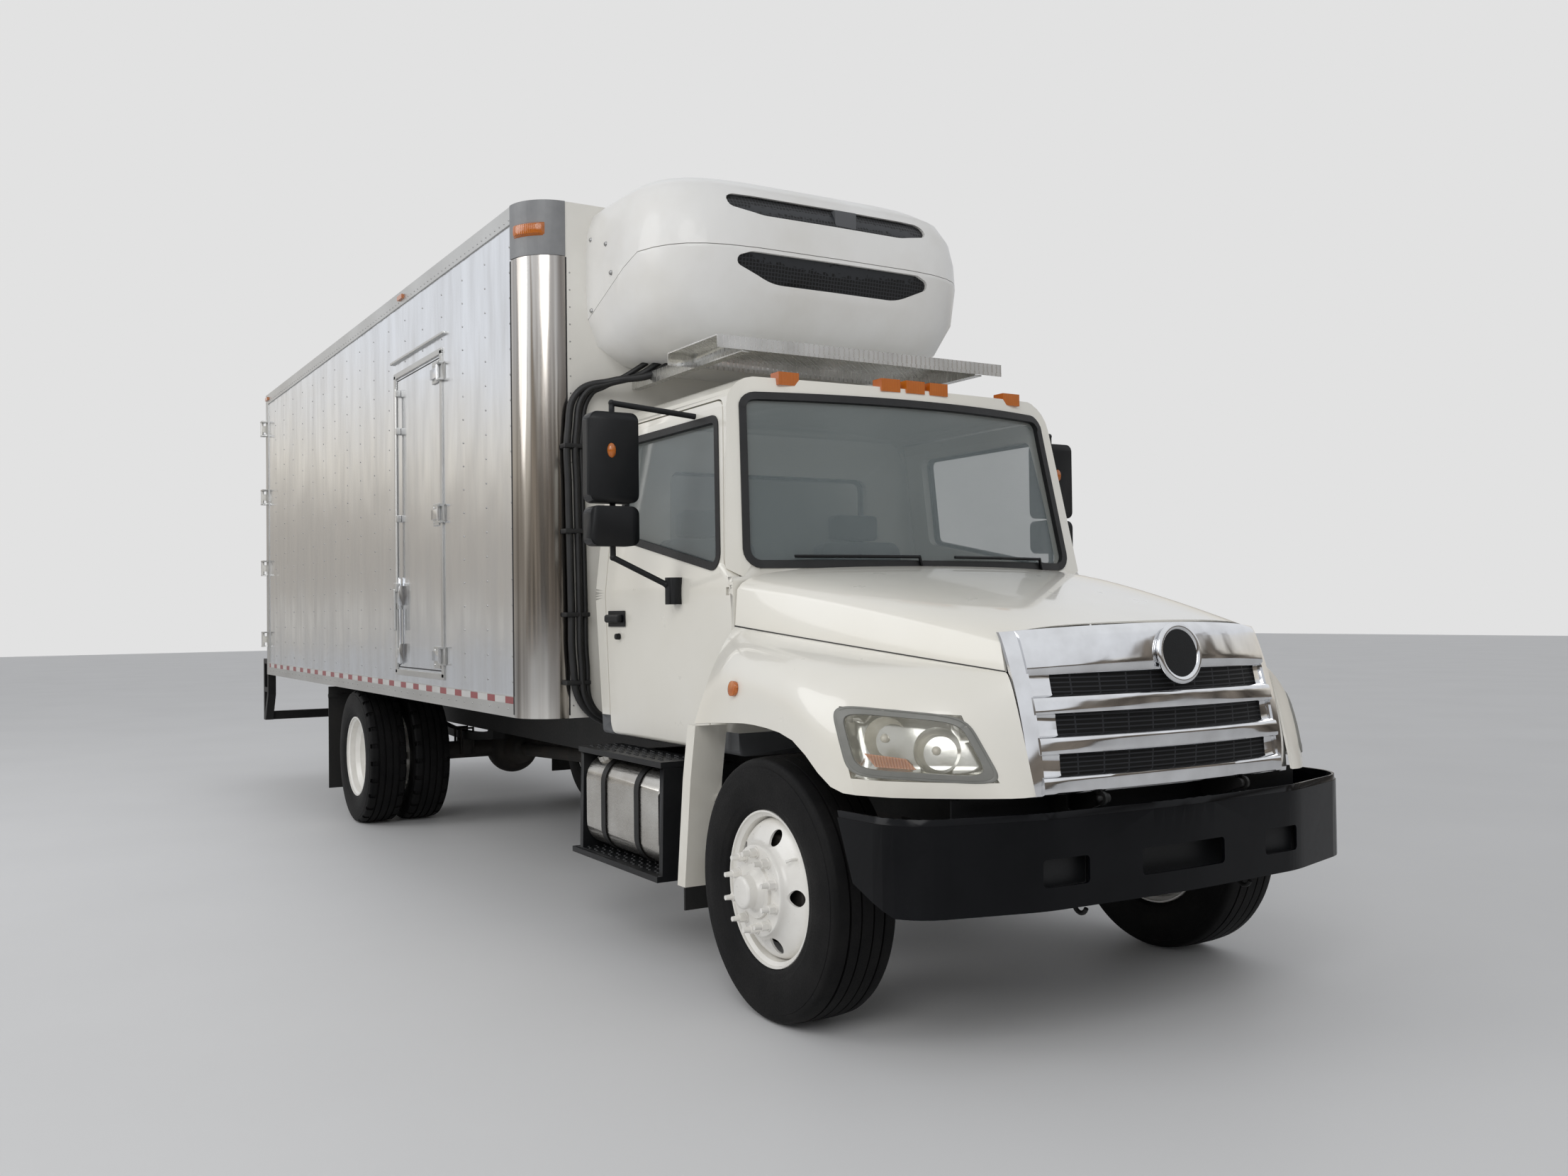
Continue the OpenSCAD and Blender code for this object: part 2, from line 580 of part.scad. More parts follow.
// Door outline: its lower front corner is cut away behind the wheel arch
door_front = 492;
door_back = 1775;
door_low = 955;
door_top = 2478;
door_belt = 1640;
door_frame_x = 565;
door_frame_z = 1760;
door_top_front = 700;
arch_cut_x = 755;
arch_cut_mid_x = 720;
arch_cut_mid_z = 1090;
arch_cut_z = 1310;
door_r = 60;
door_rows = [[-door_back, door_low, door_r], [-arch_cut_x, door_low, 0],
    [-arch_cut_mid_x, arch_cut_mid_z, 0],
             [-door_front, arch_cut_z, door_r], [-door_front, door_belt, door_r],
             [-door_frame_x, door_frame_z, door_r], [-door_top_front, door_top, door_r],
             [-door_back, door_top, door_r]];
win_front = 603;
win_top_front = 740;
win_low = 1735;
win_low_back = 1925;
win_top = 2398;
win_back = 1640;
win_r = 45;
window_rows = [[-win_back, win_low_back, win_r], [-win_front, win_low, win_r],
    [-win_top_front, win_top, win_r], [-win_back, win_top, win_r]];
// Room for a door in the cab's side: the wall alone, grown by g, and only the sill's outer edge beside the
// floor
sill_y = cab_half_w - floor_raise - cab_wall - over;
module door_zone(g) difference() {
    intersection() {
        side_slab(0, cab_half_w + over, round_path(grown(door_rows, g)));
        difference() {
            front_slab(-cab_back_x - over, 0, cab_front_view(0));
            front_slab(-cab_back_x - 2 * over, over, cab_front_view(cab_wall + 2 * g));
        }
    }
    block([-cab_back_x, 0, 0], [0, sill_y - g, floor_plate_z + cab_wall + door_gap - g]);
}
hinge_x = 503;
hinge_in = 8;
hinge_y = cab_half_w - hinge_in;
hinge_pin_r = 5;
hinge_h = 90;
hinge_notch_h = 34;
hinge_notch_r = 25;
hinge_bracket_t = 12;
hinge_zs = [1350, 1640];
// Hinge pins stand on brackets of the cab and run in the doors
module door_hinges() for (z = hinge_zs) {
    translate([-hinge_x, hinge_y, z - hinge_h / 2]) cylinder(r = hinge_pin_r, h = hinge_h);
    block([-hinge_x - hinge_pin_r, hinge_y - hinge_bracket_t / 2, z - hinge_notch_h / 3],
        [-door_front + door_gap * 2, hinge_y + hinge_bracket_t / 2, z + hinge_notch_h / 3]);
}
module hinge_room() for (z = hinge_zs) {
    translate([-hinge_x, hinge_y, z - hinge_h / 2 - over])
        cylinder(r = hinge_pin_r + pin_gap, h = hinge_h + 2 * over);
    translate([-hinge_x, hinge_y, z - hinge_notch_h / 2]) cylinder(r = hinge_notch_r, h = hinge_notch_h);
}
cab_white = "#e9e6dc";
module cab_floor() color("#3a3a3c") {
    difference() {
        intersection() {
            cab_shell();
            block([-cab_back_x, -cab_half_w, 0], [0, cab_half_w, floor_plate_z + cab_wall]);
        }
        both() door_zone(door_gap);
    }
    both() for (x = [cab_front + cab_wall * 2, cab_back_x - cab_wall * 2])
        translate([-x, spring_y, frame_top]) cylinder(r = flange_w / 3, h = floor_raise + over);
}
module cab_front() color(cab_white) {
    difference() {
        intersection() {
            cab_shell();
            block([-back_split, -cab_half_w - over, floor_plate_z + cab_wall],
                [0, cab_half_w + over, roof_split]);
        }
        both() door_zone(door_gap);
    }
    both() door_hinges();
}
module cab_back() color(cab_white) intersection() {
    cab_shell();
    block([-cab_back_x - over, -cab_half_w - over, floor_plate_z + cab_wall],
        [-back_split, cab_half_w + over, roof_split]);
}
module cab_roof() color(cab_white) intersection() {
    cab_shell();
    block([-cab_back_x - over, -cab_half_w - over, roof_split], [0, cab_half_w + over, cab_top + over]);
}
glass_in = 18;
glass_t = 6;
module cab_skin(depth, t) difference() { cab_solid(depth); cab_solid(depth + t); }
module cab_glass() color("#9fb0b2", 0.4) intersection() {
    cab_skin(glass_in, glass_t);
    union() {
        front_slab(-ws_front - cab_wall * 7, 0, round_path(ws_rows(-pin_gap)));
        front_slab(-cab_back_x, -cab_back_x + cab_wall, round_path(back_window_rows(-pin_gap)));
    }
}

// Inside of the cab

dash_front = cab_front + cab_wall;
dash_half_w = 900;
dash_low = 1250;
dash_top = 1680;
dash_back = 860;
dash_nose = 80;
dash_deep = 120;
dash_rise = 25;
dash_fall = 60;
dash_lip = 10;
dash_face = 230;
dash_foot = 140;
dash_round = 45;
dash_rows = [[-dash_front, dash_low, 0], [-dash_front, dash_top - dash_nose, 0],
             [-dash_front - dash_deep, dash_top + dash_rise, dash_round],
                 [-dash_back, dash_top - dash_fall, dash_round],
             [-dash_back - dash_lip, dash_top - dash_face, dash_round],
                 [-dash_front - dash_foot, dash_low, dash_round]];
wheel_x = 1010;
wheel_y = 480;
wheel_z = 1640;
wheel_tilt = 38;
wheel_rim_r = 215;
wheel_tube_r = 15;
wheel_hub_r = 55;
wheel_hub_h = 40;
column_r = 34;
column_pin_r = 14;
column_len = 330;
SPOKES = 4;
module at_steering_wheel() translate([-wheel_x, wheel_y, wheel_z]) rotate([0, -wheel_tilt, 0]) children();
module dashboard() color("#55575a") {
    side_slab(-dash_half_w, dash_half_w, round_path(dash_rows));
    at_steering_wheel() {
        translate([0, 0, -column_len]) cylinder(r = column_r, h = column_len - wheel_hub_h);
        translate([0, 0, -column_len]) cylinder(r = column_pin_r, h = column_len - wheel_hub_h / 2);
    }
}
module steering_wheel() color("#2b2c2e") at_steering_wheel() {
    rotate_extrude() translate([wheel_rim_r, 0]) circle(r = wheel_tube_r, $fn = 24);
    difference() {
        union() {
            translate([0, 0, -wheel_hub_h + 1]) cylinder(r = wheel_hub_r, h = wheel_hub_h);
            for (i = [0:SPOKES - 1]) rotate([0, 0, 45 + i * 360 / SPOKES])
                translate([0, -wheel_tube_r, -wheel_tube_r / 2])
                    cube([wheel_rim_r, 2 * wheel_tube_r, wheel_tube_r]);
        }
        translate([0, 0, -wheel_hub_h]) cylinder(r = column_pin_r + pin_gap,
            h = wheel_hub_h / 2 + over / 2);
    }
}
seat_w = 520;
seat_y = 470;
seat_front = 1180;
seat_back = 1640;
seat_z = 1430;
cushion_t = 130;
back_top = 2080;
back_t = 120;
back_lean = 120;
seat_base_w = 380;
seat_round = 40;
cushion_rise = 10;
cushion_dip = 20;
// Driver's and passenger's seats on plain boxes
module seats() color("#8d8f90") both() translate([0, seat_y, 0]) {
    block([-seat_back, -seat_base_w / 2, floor_plate_z + cab_wall],
        [-seat_front - cushion_t / 2, seat_base_w / 2, seat_z - cushion_t]);
    side_slab(-seat_w / 2, seat_w / 2, round_path([
        [-seat_back - back_t / 2, seat_z - cushion_t, seat_round], [-seat_front, seat_z - cushion_t, seat_round],
        [-seat_front, seat_z + cushion_rise, seat_round], [-seat_back + back_t / 2, seat_z - cushion_dip, seat_round],
        [-seat_back + back_t / 2 - back_lean, back_top, seat_round],
        [-seat_back - back_t / 2 - back_lean, back_top, seat_round]]));
}

// Outside of the cab

function ws_x(y, z) =
    -ws_front - ws_bow * y * y / ws_bottom_half / ws_bottom_half - (z - ws_bottom) * tan(ws_rake);
module rod(a, b, r) translate(a) rotate([0, acos((b - a)[2] / norm(b - a)), atan2((b - a)[1], (b - a)[0])])
    cylinder(r = r, h = norm(b - a), $fn = 24);
// Joints are a little fuller than the rods that meet there
joint_fuller_share = 1.15;
module ball(a, r) translate(a) sphere(r = r * joint_fuller_share, $fn = 24);
wiper_r = 7;
wiper_lift = 18;
wiper_z = 1788;
// Ends of the two wiper blades and the foot of each arm, as shares of the windscreen's half width
wiper_shares = [[-0.78, -0.12, -0.1], [0.1, 0.74, 0.76]];
module wipers() color("#151516") for (w = wiper_shares * ws_bottom_half) {
    a = [ws_x(w[0], wiper_z) + wiper_lift, w[0], wiper_z];
    b = [ws_x(w[1], wiper_z) + wiper_lift, w[1], wiper_z];
    foot = [ws_x(w[2], wiper_z) + wiper_lift, w[2], cowl_z + floor_raise + wiper_r];
    inner = abs(w[2] - w[1]) < abs(w[2] - w[0]) ? b : a;
    mid_y = (w[0] + w[1]) / 2;
    mid = [ws_x(mid_y, wiper_z) + wiper_lift, mid_y, wiper_z];
    difference() {
        union() {
            rod(a, mid, wiper_r);
            rod(mid, b, wiper_r);
            ball(mid, wiper_r);
            rod(foot, inner, wiper_r);
            ball(inner, wiper_r);
            rod(foot, foot - [wiper_lift * 2, 0, 0], wiper_r);
            ball(foot, wiper_r);
        }
        cab_solid(0);
    }
}
roof_lamp_w = 105;
roof_lamp_d = 70;
roof_lamp_h = 42;
// Places of the roof lamps across, as shares of the roof's half width
roof_lamp_shares = [-0.7, -0.15, 0, 0.15, 0.7];
roof_lamp_back = 40;
lamp_proud = 16;
box_lamp_w = 110;
box_lamp_h = 55;
// Places of the side lamps along the upper rail, as shares of the box's length
rail_lamp_shares = [0.325, 0.985];
tail_lamp_w = 150;
tail_lamp_y = 960;
corner_lamp_drop = 239;
corner_lamp_z = box_top - corner_lamp_drop;
module marker_lamps() color("#d9771f") {
    for (share = roof_lamp_shares) {
        y = share * roof_half_w;
        x = ws_x(y, ws_top) - roof_lamp_back;
        difference() {
            translate([x - roof_lamp_d / 2, y - roof_lamp_w / 2, roof_split + roof_lamp_h])
                cube([roof_lamp_d, roof_lamp_w, roof_lamp_h + lamp_proud]);
            cab_solid(0);
        }
    }
    both() {
        difference() {
            translate([-side_front - box_lamp_w / 2, skin_y, corner_lamp_z - box_lamp_h / 2])
                cube([box_lamp_w, rail_proud + lamp_proud, box_lamp_h]);
            box_corner_solid(cap_proud, 0, box_top);
        }
        for (share = rail_lamp_shares) translate([-box_front - share * box_len, box_half_w,
            box_top - rail_top_h / 2 - box_lamp_h / 4])
            block([-box_lamp_w / 2, 0, 0], [box_lamp_w / 2, lamp_proud, box_lamp_h / 2]);
        block([-box_rear - lamp_proud, tail_lamp_y - tail_lamp_w / 2, floor_top - box_lamp_h * 2],
            [-box_rear, tail_lamp_y + tail_lamp_w / 2, floor_top - box_lamp_h]);
    }
}
bumper_t = 12;
bumper_lip = 22;
bumper_end = 520;
bumper_end_y = 1165;
bumper_corner_x = 865;
bumper_corner_y = 1132;
bumper_bend_x = 1000;
bumper_bend_y = 640;
bumper_rows = [[bumper_end, bumper_end_y, 0], [bumper_corner_x, bumper_corner_y, 220],
    [bumper_bend_x, bumper_bend_y, 600], [bumper_front + 3, 0, 3000]];
// Outer face of the bumper in plan, set in by d, from the left end to the right end
function bumper_face(d) = let (half = [for (r = bumper_rows) r],
    all = concat(half, [for (i = [len(half) - 2:-1:0]) [half[i][0], -half[i][1], half[i][2]]]))
    [for (p = round_path(concat(all, [[-bumper_front, -bumper_end_y, 0], [-bumper_front, bumper_end_y, 0]]),
        6)) if (p[0] > 0)
        p[0] > bumper_end + 1 ? p - d * unit([p[0] - bumper_end, p[1]]) : [p[0], p[1] - d * sign(p[1])]];
function bumper_band(d) = concat(bumper_face(d), let (inner = bumper_face(d
    + bumper_t)) [for (i = [len(inner) - 1:-1:0]) inner[i]]);
bumper_hole_z = 660;
bumper_hole_h = 95;
bumper_hole_r = 16;
// Openings: middle across and width, as shares of the bumper's half width
bumper_hole_shares = [[0, 0.36], [-0.47, 0.17], [0.47, 0.17]];
bumper_bracket_y = 390;
bumper_bracket_t = 30;
bumper_tip_x = 800;
bumper_tip_rise = 90;
module front_bumper() color("#161617") {
    difference() {
        intersection() {
            union() {
                translate([0, 0, bumper_bottom]) linear_extrude(bumper_top - bumper_lip - bumper_bottom)
                    polygon(bumper_band(0));
                translate([0, 0, bumper_top - 2 * bumper_lip]) linear_extrude(2 * bumper_lip)
                    polygon(bumper_band(bumper_t - over));
            }
            side_slab(-bumper_end_y - over, bumper_end_y + over,
                [[bumper_end, bumper_top + over], [bumper_end + bumper_tip_rise,
                bumper_bottom + bumper_tip_rise],
                [bumper_tip_x, bumper_bottom], [bumper_front + over, bumper_bottom],
                    [bumper_front + over, bumper_top + over]]);
        }
        for (h = bumper_hole_shares) front_slab(bumper_corner_x - over, bumper_front + over,
            round_path([for (c = [[-1, -1], [1, -1], [1, 1], [-1, 1]])
            [h[0] * bumper_end_y + c[0] * h[1] * bumper_end_y / 2, bumper_hole_z + c[1] * bumper_hole_h / 2,
                bumper_hole_r]]));
    }
    // Brackets to the front ends of the frame rails
    both() difference() {
        block([frame_front, bumper_bracket_y - bumper_bracket_t / 2, frame_bottom + frame_t],
            [bumper_front, bumper_bracket_y + bumper_bracket_t / 2, frame_top - frame_h / 2]);
        translate([0, 0, frame_bottom]) linear_extrude(frame_h)
            polygon(concat(bumper_face(bumper_t / 2), [[2 * bumper_front, -bumper_front],
            [2 * bumper_front, bumper_front]]));
    }
}
guard_top = 1082;
guard_low = 396;
guard_top_x = 545;
guard_low_x = 655;
guard_lip_w = 70;
guard_bow_share = 0.7;
guard_lip_t = 34;
guard_t = 12;
guard_inner_y = 1002;
guard_y = 1152;
guard_stay_r = 18;
guard_stay_z = 770;
// White guard behind each front wheel, held off the frame by a stay
module mudguards() color(cab_white) both() {
    mid = [-guard_top_x - guard_lip_w * guard_bow_share, (guard_top * 2 + guard_low) / 3];
    front = [[-guard_top_x, guard_top], mid, [-guard_low_x, guard_low]];
    band = concat(front, [for (i = [2:-1:0]) front[i] - [guard_t, 0]]);
    lip = concat(front, [for (i = [2:-1:0]) front[i] - [guard_lip_w, 0]]);
    side_slab(guard_inner_y, guard_y, band);
    side_slab(guard_y - guard_lip_t, guard_y, lip);
    stay_x = lerp(mid[0], -guard_low_x, (mid[1] - guard_stay_z) / (mid[1] - guard_low)) - guard_t / 2;
    translate([stay_x, frame_w / 2, guard_stay_z]) along_y()
        cylinder(r = guard_stay_r, h = guard_inner_y + guard_lip_t - frame_w / 2);
}
flap_t = 12;
flap_inner_y = 880;
flap_low = 300;
rear_flap_set = 770;
rear_flap_x = wheelbase + rear_flap_set;
rear_flap_low = 180;
rear_flap_inner = 640;
rear_flap_outer = 1262;
flap_bar_r = 20;
module mudflaps() color("#171718") both() {
    block([-guard_low_x - flap_t, flap_inner_y, flap_low], [-guard_low_x, guard_y, guard_low]);
    block([-rear_flap_x - flap_t, rear_flap_inner, rear_flap_low],
        [-rear_flap_x, rear_flap_outer, box_bottom - flap_bar_r]);
    translate([-rear_flap_x - flap_t / 2, frame_w / 2, frame_top - 2 * flap_bar_r]) along_y()
        cylinder(r = flap_bar_r, h = rear_flap_outer - frame_w / 2);
}
tank_front = 925;
tank_rear = 1725;
tank_low = 425;
tank_top = 862;
tank_in = 690;
tank_out = 1142;
tank_r = 115;
tank_rows = [[tank_in, tank_low, tank_r], [tank_out, tank_low, tank_r], [tank_out, tank_top, tank_r],
    [tank_in, tank_top, tank_r]];
tank_stay_w = 90;
tank_stay_top = 800;
tank_stay_low = 720;
module frame_stays() for (x = [tank_front + tank_stay_w * 1.5, tank_rear - tank_stay_w * 1.5])
    block([-x - tank_stay_w / 2, frame_w / 2, tank_stay_low],
        [-x + tank_stay_w / 2, tank_in + tank_r / 4, tank_stay_top]);
module fuel_tank() color("#b9babb") right_side() {
    front_slab(-tank_rear, -tank_front, round_path(tank_rows, 8));
    frame_stays();
    translate([-tank_front - tank_stay_w, (tank_in + tank_out) / 2 + tank_r, tank_top - over])
        cylinder(r = tank_r / 3, h = over + lamp_proud / 2);
}
// Battery box under the left door, with a ribbed cover
module battery_box() color("#1c1c1d") {
    front_slab(-tank_rear, -tank_front, round_path([for (r = tank_rows) [r[0], r[1], r[2] / 4]]));
    frame_stays();
}
hanger_t = 36;
step_t = 26;
step_top = 902;
step_low_z = 408;
step_in = 950;
step_out = 1178;
step_low_front = 905;
step_low_rear = 1790;
// Hangers at both ends of the tank carry an upper and a lower tread
module cab_steps() color("#19191a") both() {
    for (x = [step_low_front, step_low_rear]) front_slab(-x, -x + hanger_t, round_path([
        [frame_w / 2, tank_stay_low, 0], [step_in - step_t, tank_stay_low, 0],
            [step_in - step_t, step_low_z, 0], [step_out - step_t, step_low_z, 0],
        [tank_out, step_top - step_t, 0], [frame_w / 2, tank_top, 0]]));
    block([-step_low_rear, step_in - step_t, step_top - step_t],
        [-step_low_front + hanger_t, tank_out + step_t / 2, step_top]);
    block([-step_low_rear - hanger_t, step_in - step_t, step_low_z - step_t],
        [-step_low_front + hanger_t, step_out, step_low_z]);
}

// Box

rail_proud = 8;
rail_low_h = 112;
rail_top_h = 92;
floor_top = 1180;
front_wall_t = 90;
rear_frame_d = 110;
rear_post_w = 110;
header_h = 150;
roof_t = 80;
roof_drop = 8;
sill_w = 70;
bearer_w = 60;
BEARERS = 16;
skin_y = box_half_w - rail_proud;
inner_y = skin_y - box_wall;
corner_in_r = box_corner_r - rail_proud - box_wall;
side_front = box_front + box_corner_r;
side_rear = box_rear - rear_frame_d;
bearer_top = floor_top - floor_t;
bearer_low = box_bottom + rail_low_h / 2;
metal = "#c9cbcd";
// A slab over the load space, its front corners rounded to lie within the box's rounded corners
module box_slab(z0, z1) translate([0, 0, z0]) linear_extrude(z1 - z0) polygon(round_path([
    [-side_rear, -inner_y, 0], [-box_front - front_wall_t, -inner_y, corner_in_r],
    [-box_front - front_wall_t, inner_y, corner_in_r], [-side_rear, inner_y, 0]]));
module box_floor() color("#8f9193") {
    box_slab(bearer_top, floor_top);
    for (i = [0:BEARERS - 1]) translate([lerp(-side_rear, -side_front - bearer_w, i / (BEARERS - 1)), 0, 0])
        block([0, -inner_y, bearer_low], [bearer_w, inner_y, bearer_top]);
    both() block([-side_rear, spring_y - sill_w / 2, frame_top],
        [-side_front, spring_y + sill_w / 2, bearer_low]);
}
// Insulated side: a flat skin between proud lower and upper rails
module box_side() {
    section = [[inner_y, box_bottom], [box_half_w, box_bottom], [box_half_w, box_bottom + rail_low_h],
        [skin_y, box_bottom + rail_low_h],
               [skin_y, box_top - rail_top_h], [box_half_w, box_top - rail_top_h], [box_half_w, box_top],
                   [inner_y, box_top]];
    front_slab(-side_rear, -side_front, section);
}
module box_side_left() color(metal) box_side();
side_door_front = 3590;
side_door_rear = 4550;
side_door_low = 1215;
side_door_top = 3125;
module box_side_right() color(metal) right_side() {
    difference() {
        box_side();
        block([-side_door_rear, inner_y - over, side_door_low],
            [-side_door_front, box_half_w + over, side_door_top]);
    }
    for (z = side_hinge_zs) side_hinge_leaf(z);
}
module box_front_wall() color("#e4e3de") block([-box_front - front_wall_t, box_corner_r - box_half_w,
    box_bottom], [-box_front, box_half_w - box_corner_r, box_top]);
module box_roof() color(metal) box_slab(box_top - roof_t, box_top - roof_drop);
cap_h = 285;
cap_proud = 6;
// One rounded front corner, standing proud by p, from z0 to z1
module box_corner_solid(p, z0, z1) translate([-side_front, box_half_w - box_corner_r, z0])
    rotate_extrude(angle = 90, $fn = 96)
    translate([corner_in_r, 0]) square([rail_proud + box_wall + p, z1 - z0]);
module box_corners() color("#c4c6c8") both() {
    box_corner_solid(0, box_bottom, box_top - cap_h);
    box_corner_solid(cap_proud, box_top - cap_h, box_top);
}
rear_hinge_out = 30;
rear_pin_r = 8;
rear_barrel_r = 14;
rear_barrel_h = 120;
rear_leaf_t = 12;
rear_strap_t = 20;
rear_strap_gap = 5;
rear_strap_len = 300;
rear_axis_x = box_rear + rear_hinge_out;
rear_axis_y = box_half_w + rear_hinge_out;
// Heights of the rear doors' hinges, as shares of the doors' height
rear_hinge_shares = [0.07, 0.36, 0.65, 0.93];
rear_door_low = floor_top + box_door_gap;
rear_door_top = box_top - header_h - box_door_gap;
function rear_hinge_z(share) = lerp(rear_door_low, rear_door_top, share);
module box_rear_frame() color("#a9abad") {
    both() {
        block([-box_rear, box_half_w - rear_post_w, box_bottom], [-side_rear, box_half_w, box_top]);
        for (share = rear_hinge_shares) {
            for (side = [-1, 1]) translate([0, 0, rear_hinge_z(share)
                + side * (rear_barrel_h + rear_leaf_t + 1) / 2])
                block([-rear_axis_x - rear_barrel_r, box_half_w, -rear_leaf_t / 2],
                    [-box_rear + 2 * rear_hinge_out, rear_axis_y + rear_barrel_r, rear_leaf_t / 2]);
            translate([-rear_axis_x, rear_axis_y, rear_hinge_z(share) - rear_barrel_h / 2 - rear_leaf_t])
                cylinder(r = rear_pin_r, h = rear_barrel_h + 2 * rear_leaf_t);
        }
    }
    block([-box_rear, rear_post_w - box_half_w, box_bottom],
        [-side_rear, box_half_w - rear_post_w, floor_top]);
    block([-box_rear, rear_post_w - box_half_w, box_top - header_h],
        [-side_rear, box_half_w - rear_post_w, box_top]);
}
rear_door_edge = box_half_w - rear_post_w - box_door_gap;
lock_rod_r = 13;
lock_rod_y = 260;
lock_rod_off = 26;
lock_keeper_h = 60;
// Heights of the lock rod's guides, as shares of the doors' height
lock_guide_shares = [0.03, 0.3, 0.6, 0.97];
module rear_door_left() color(metal) {
    block([-box_rear, box_door_gap / 2, rear_door_low],
        [-box_rear + box_wall, rear_door_edge, rear_door_top]);
    for (share = rear_hinge_shares) translate([0, 0, rear_hinge_z(share)]) difference() {
        union() {
            block([-box_rear - rear_strap_gap, rear_door_edge - rear_strap_len, -rear_barrel_h / 4],
                [-box_rear, rear_door_edge - over, rear_barrel_h / 4]);
            block([-box_rear - rear_strap_gap - rear_strap_t, rear_door_edge - rear_strap_len,
                -rear_barrel_h / 4],
                  [-box_rear - rear_strap_gap, rear_axis_y, rear_barrel_h / 4]);
            translate([-rear_axis_x, rear_axis_y, -rear_barrel_h / 2])
                cylinder(r = rear_barrel_r, h = rear_barrel_h);
        }
        translate([-rear_axis_x, rear_axis_y, -rear_barrel_h])
            cylinder(r = rear_pin_r + pin_gap, h = 2 * rear_barrel_h);
    }
    translate([-box_rear - lock_rod_off, lock_rod_y, rear_door_low + over])
        cylinder(r = lock_rod_r, h = rear_door_top - rear_door_low - 2 * over);
    for (share = lock_guide_shares) translate([0, 0, lerp(rear_door_low, rear_door_top, share)])
        block([-box_rear - lock_rod_off, lock_rod_y - lock_rod_r * 2, -lock_keeper_h / 2],
            [-box_rear, lock_rod_y + lock_rod_r * 2, lock_keeper_h / 2]);
}
// Side door, flush with the skin, on three hinges at its front edge
side_axis_x = side_door_front - 14;
side_axis_y = skin_y + 20;
side_barrel_r = 12;
side_pin_r = 7;
side_barrel_h = 90;
side_leaf_t = 10;
side_leaf_len = 70;
side_strap_len = 120;
side_strap_t = 12;
// Heights of the side door's hinges, as shares of its height
side_hinge_shares = [0.05, 0.5, 0.95];
side_hinge_zs = [for (share = side_hinge_shares) lerp(side_door_low, side_door_top, share)];
latch_z = 1690;
latch_w = 34;
latch_t = 26;
latch_h = 190;
module side_hinge_leaf(z) {
    for (side = [-1, 1]) translate([0, 0, z + side * (side_barrel_h + side_leaf_t + 1) / 2])
        block([-side_axis_x - side_barrel_r, skin_y + over / 2, -side_leaf_t / 2],
            [-side_axis_x + side_leaf_len, side_axis_y + side_barrel_r, side_leaf_t / 2]);
    block([-side_axis_x + side_leaf_len / 2, skin_y, z - side_barrel_h / 2 - side_leaf_t],
        [-side_axis_x + side_leaf_len, skin_y + side_leaf_t, z + side_barrel_h / 2 + side_leaf_t]);
    translate([-side_axis_x, side_axis_y, z - side_barrel_h / 2 - side_leaf_t])
        cylinder(r = side_pin_r, h = side_barrel_h + 2 * side_leaf_t);
}
module side_door() color(metal) right_side() {
    front = -side_door_front - box_door_gap;
    rear = -side_door_rear + box_door_gap;
    block([rear, inner_y, side_door_low + box_door_gap], [front, skin_y, side_door_top - box_door_gap]);
    for (z = side_hinge_zs) translate([0, 0, z]) difference() {
        union() {
            block([front - side_strap_len, skin_y, -side_barrel_h / 3],
                [front - over, side_axis_y + side_strap_t / 2, side_barrel_h / 3]);
            block([front - side_strap_len, side_axis_y - side_strap_t / 2, -side_barrel_h / 3],
                [-side_axis_x, side_axis_y + side_strap_t / 2, side_barrel_h / 3]);
            translate([-side_axis_x, side_axis_y, -side_barrel_h / 2])
                cylinder(r = side_barrel_r, h = side_barrel_h);
        }
        translate([-side_axis_x, side_axis_y, -side_barrel_h])
            cylinder(r = side_pin_r + pin_gap, h = 2 * side_barrel_h);
    }
    // Latch bar with its handle near the rear edge
    translate([rear + latch_w * 2, skin_y + lock_rod_r, side_door_low + 4 * box_door_gap])
        cylinder(r = lock_rod_r * 0.7, h = latch_h * 3);
    for (z = [side_door_low + latch_h / 2, latch_z]) block([rear + latch_w, skin_y, z - latch_h / 3],
        [rear + latch_w * 3, skin_y + latch_t, z + latch_h / 3]);
}

// Refrigeration unit on the box's front wall

// Rings of the unit from its underside up: height, half width and reach ahead of the box, each as a share
unit_ring_shares = [[0, 0.62, 0.56], [0.045, 0.79, 0.72], [0.145, 0.935, 0.86], [0.3, 0.99, 0.96],
    [0.515, 1, 1],
                    [0.66, 1, 0.985], [0.795, 0.99, 0.945], [0.905, 0.955, 0.87], [0.972, 0.88, 0.76],
                        [1, 0.77, 0.6]];
unit_bottom = box_top - unit_drop;
unit_top = box_top + unit_rise;
unit_square = 0.42;
UNIT_STEPS = 18;
unit_h = unit_top - unit_bottom;
function unit_ring(row) = [for (i = [0:UNIT_STEPS]) let (a = lerp(-90, 90, i / UNIT_STEPS))
    [-box_front + unit_depth * row[2] * pow(abs(cos(a)), unit_square),
        sign(a) * unit_half_w * row[1] * pow(abs(sin(a)), unit_square),
     unit_bottom + unit_h * row[0]]];
module unit_solid() loft([for (row = unit_ring_shares) unit_ring(row)]);
seam_back_share = 0.29;
seam_front_share = 0.54;
seam_knee_share = 0.62;
seam_gap = 4;
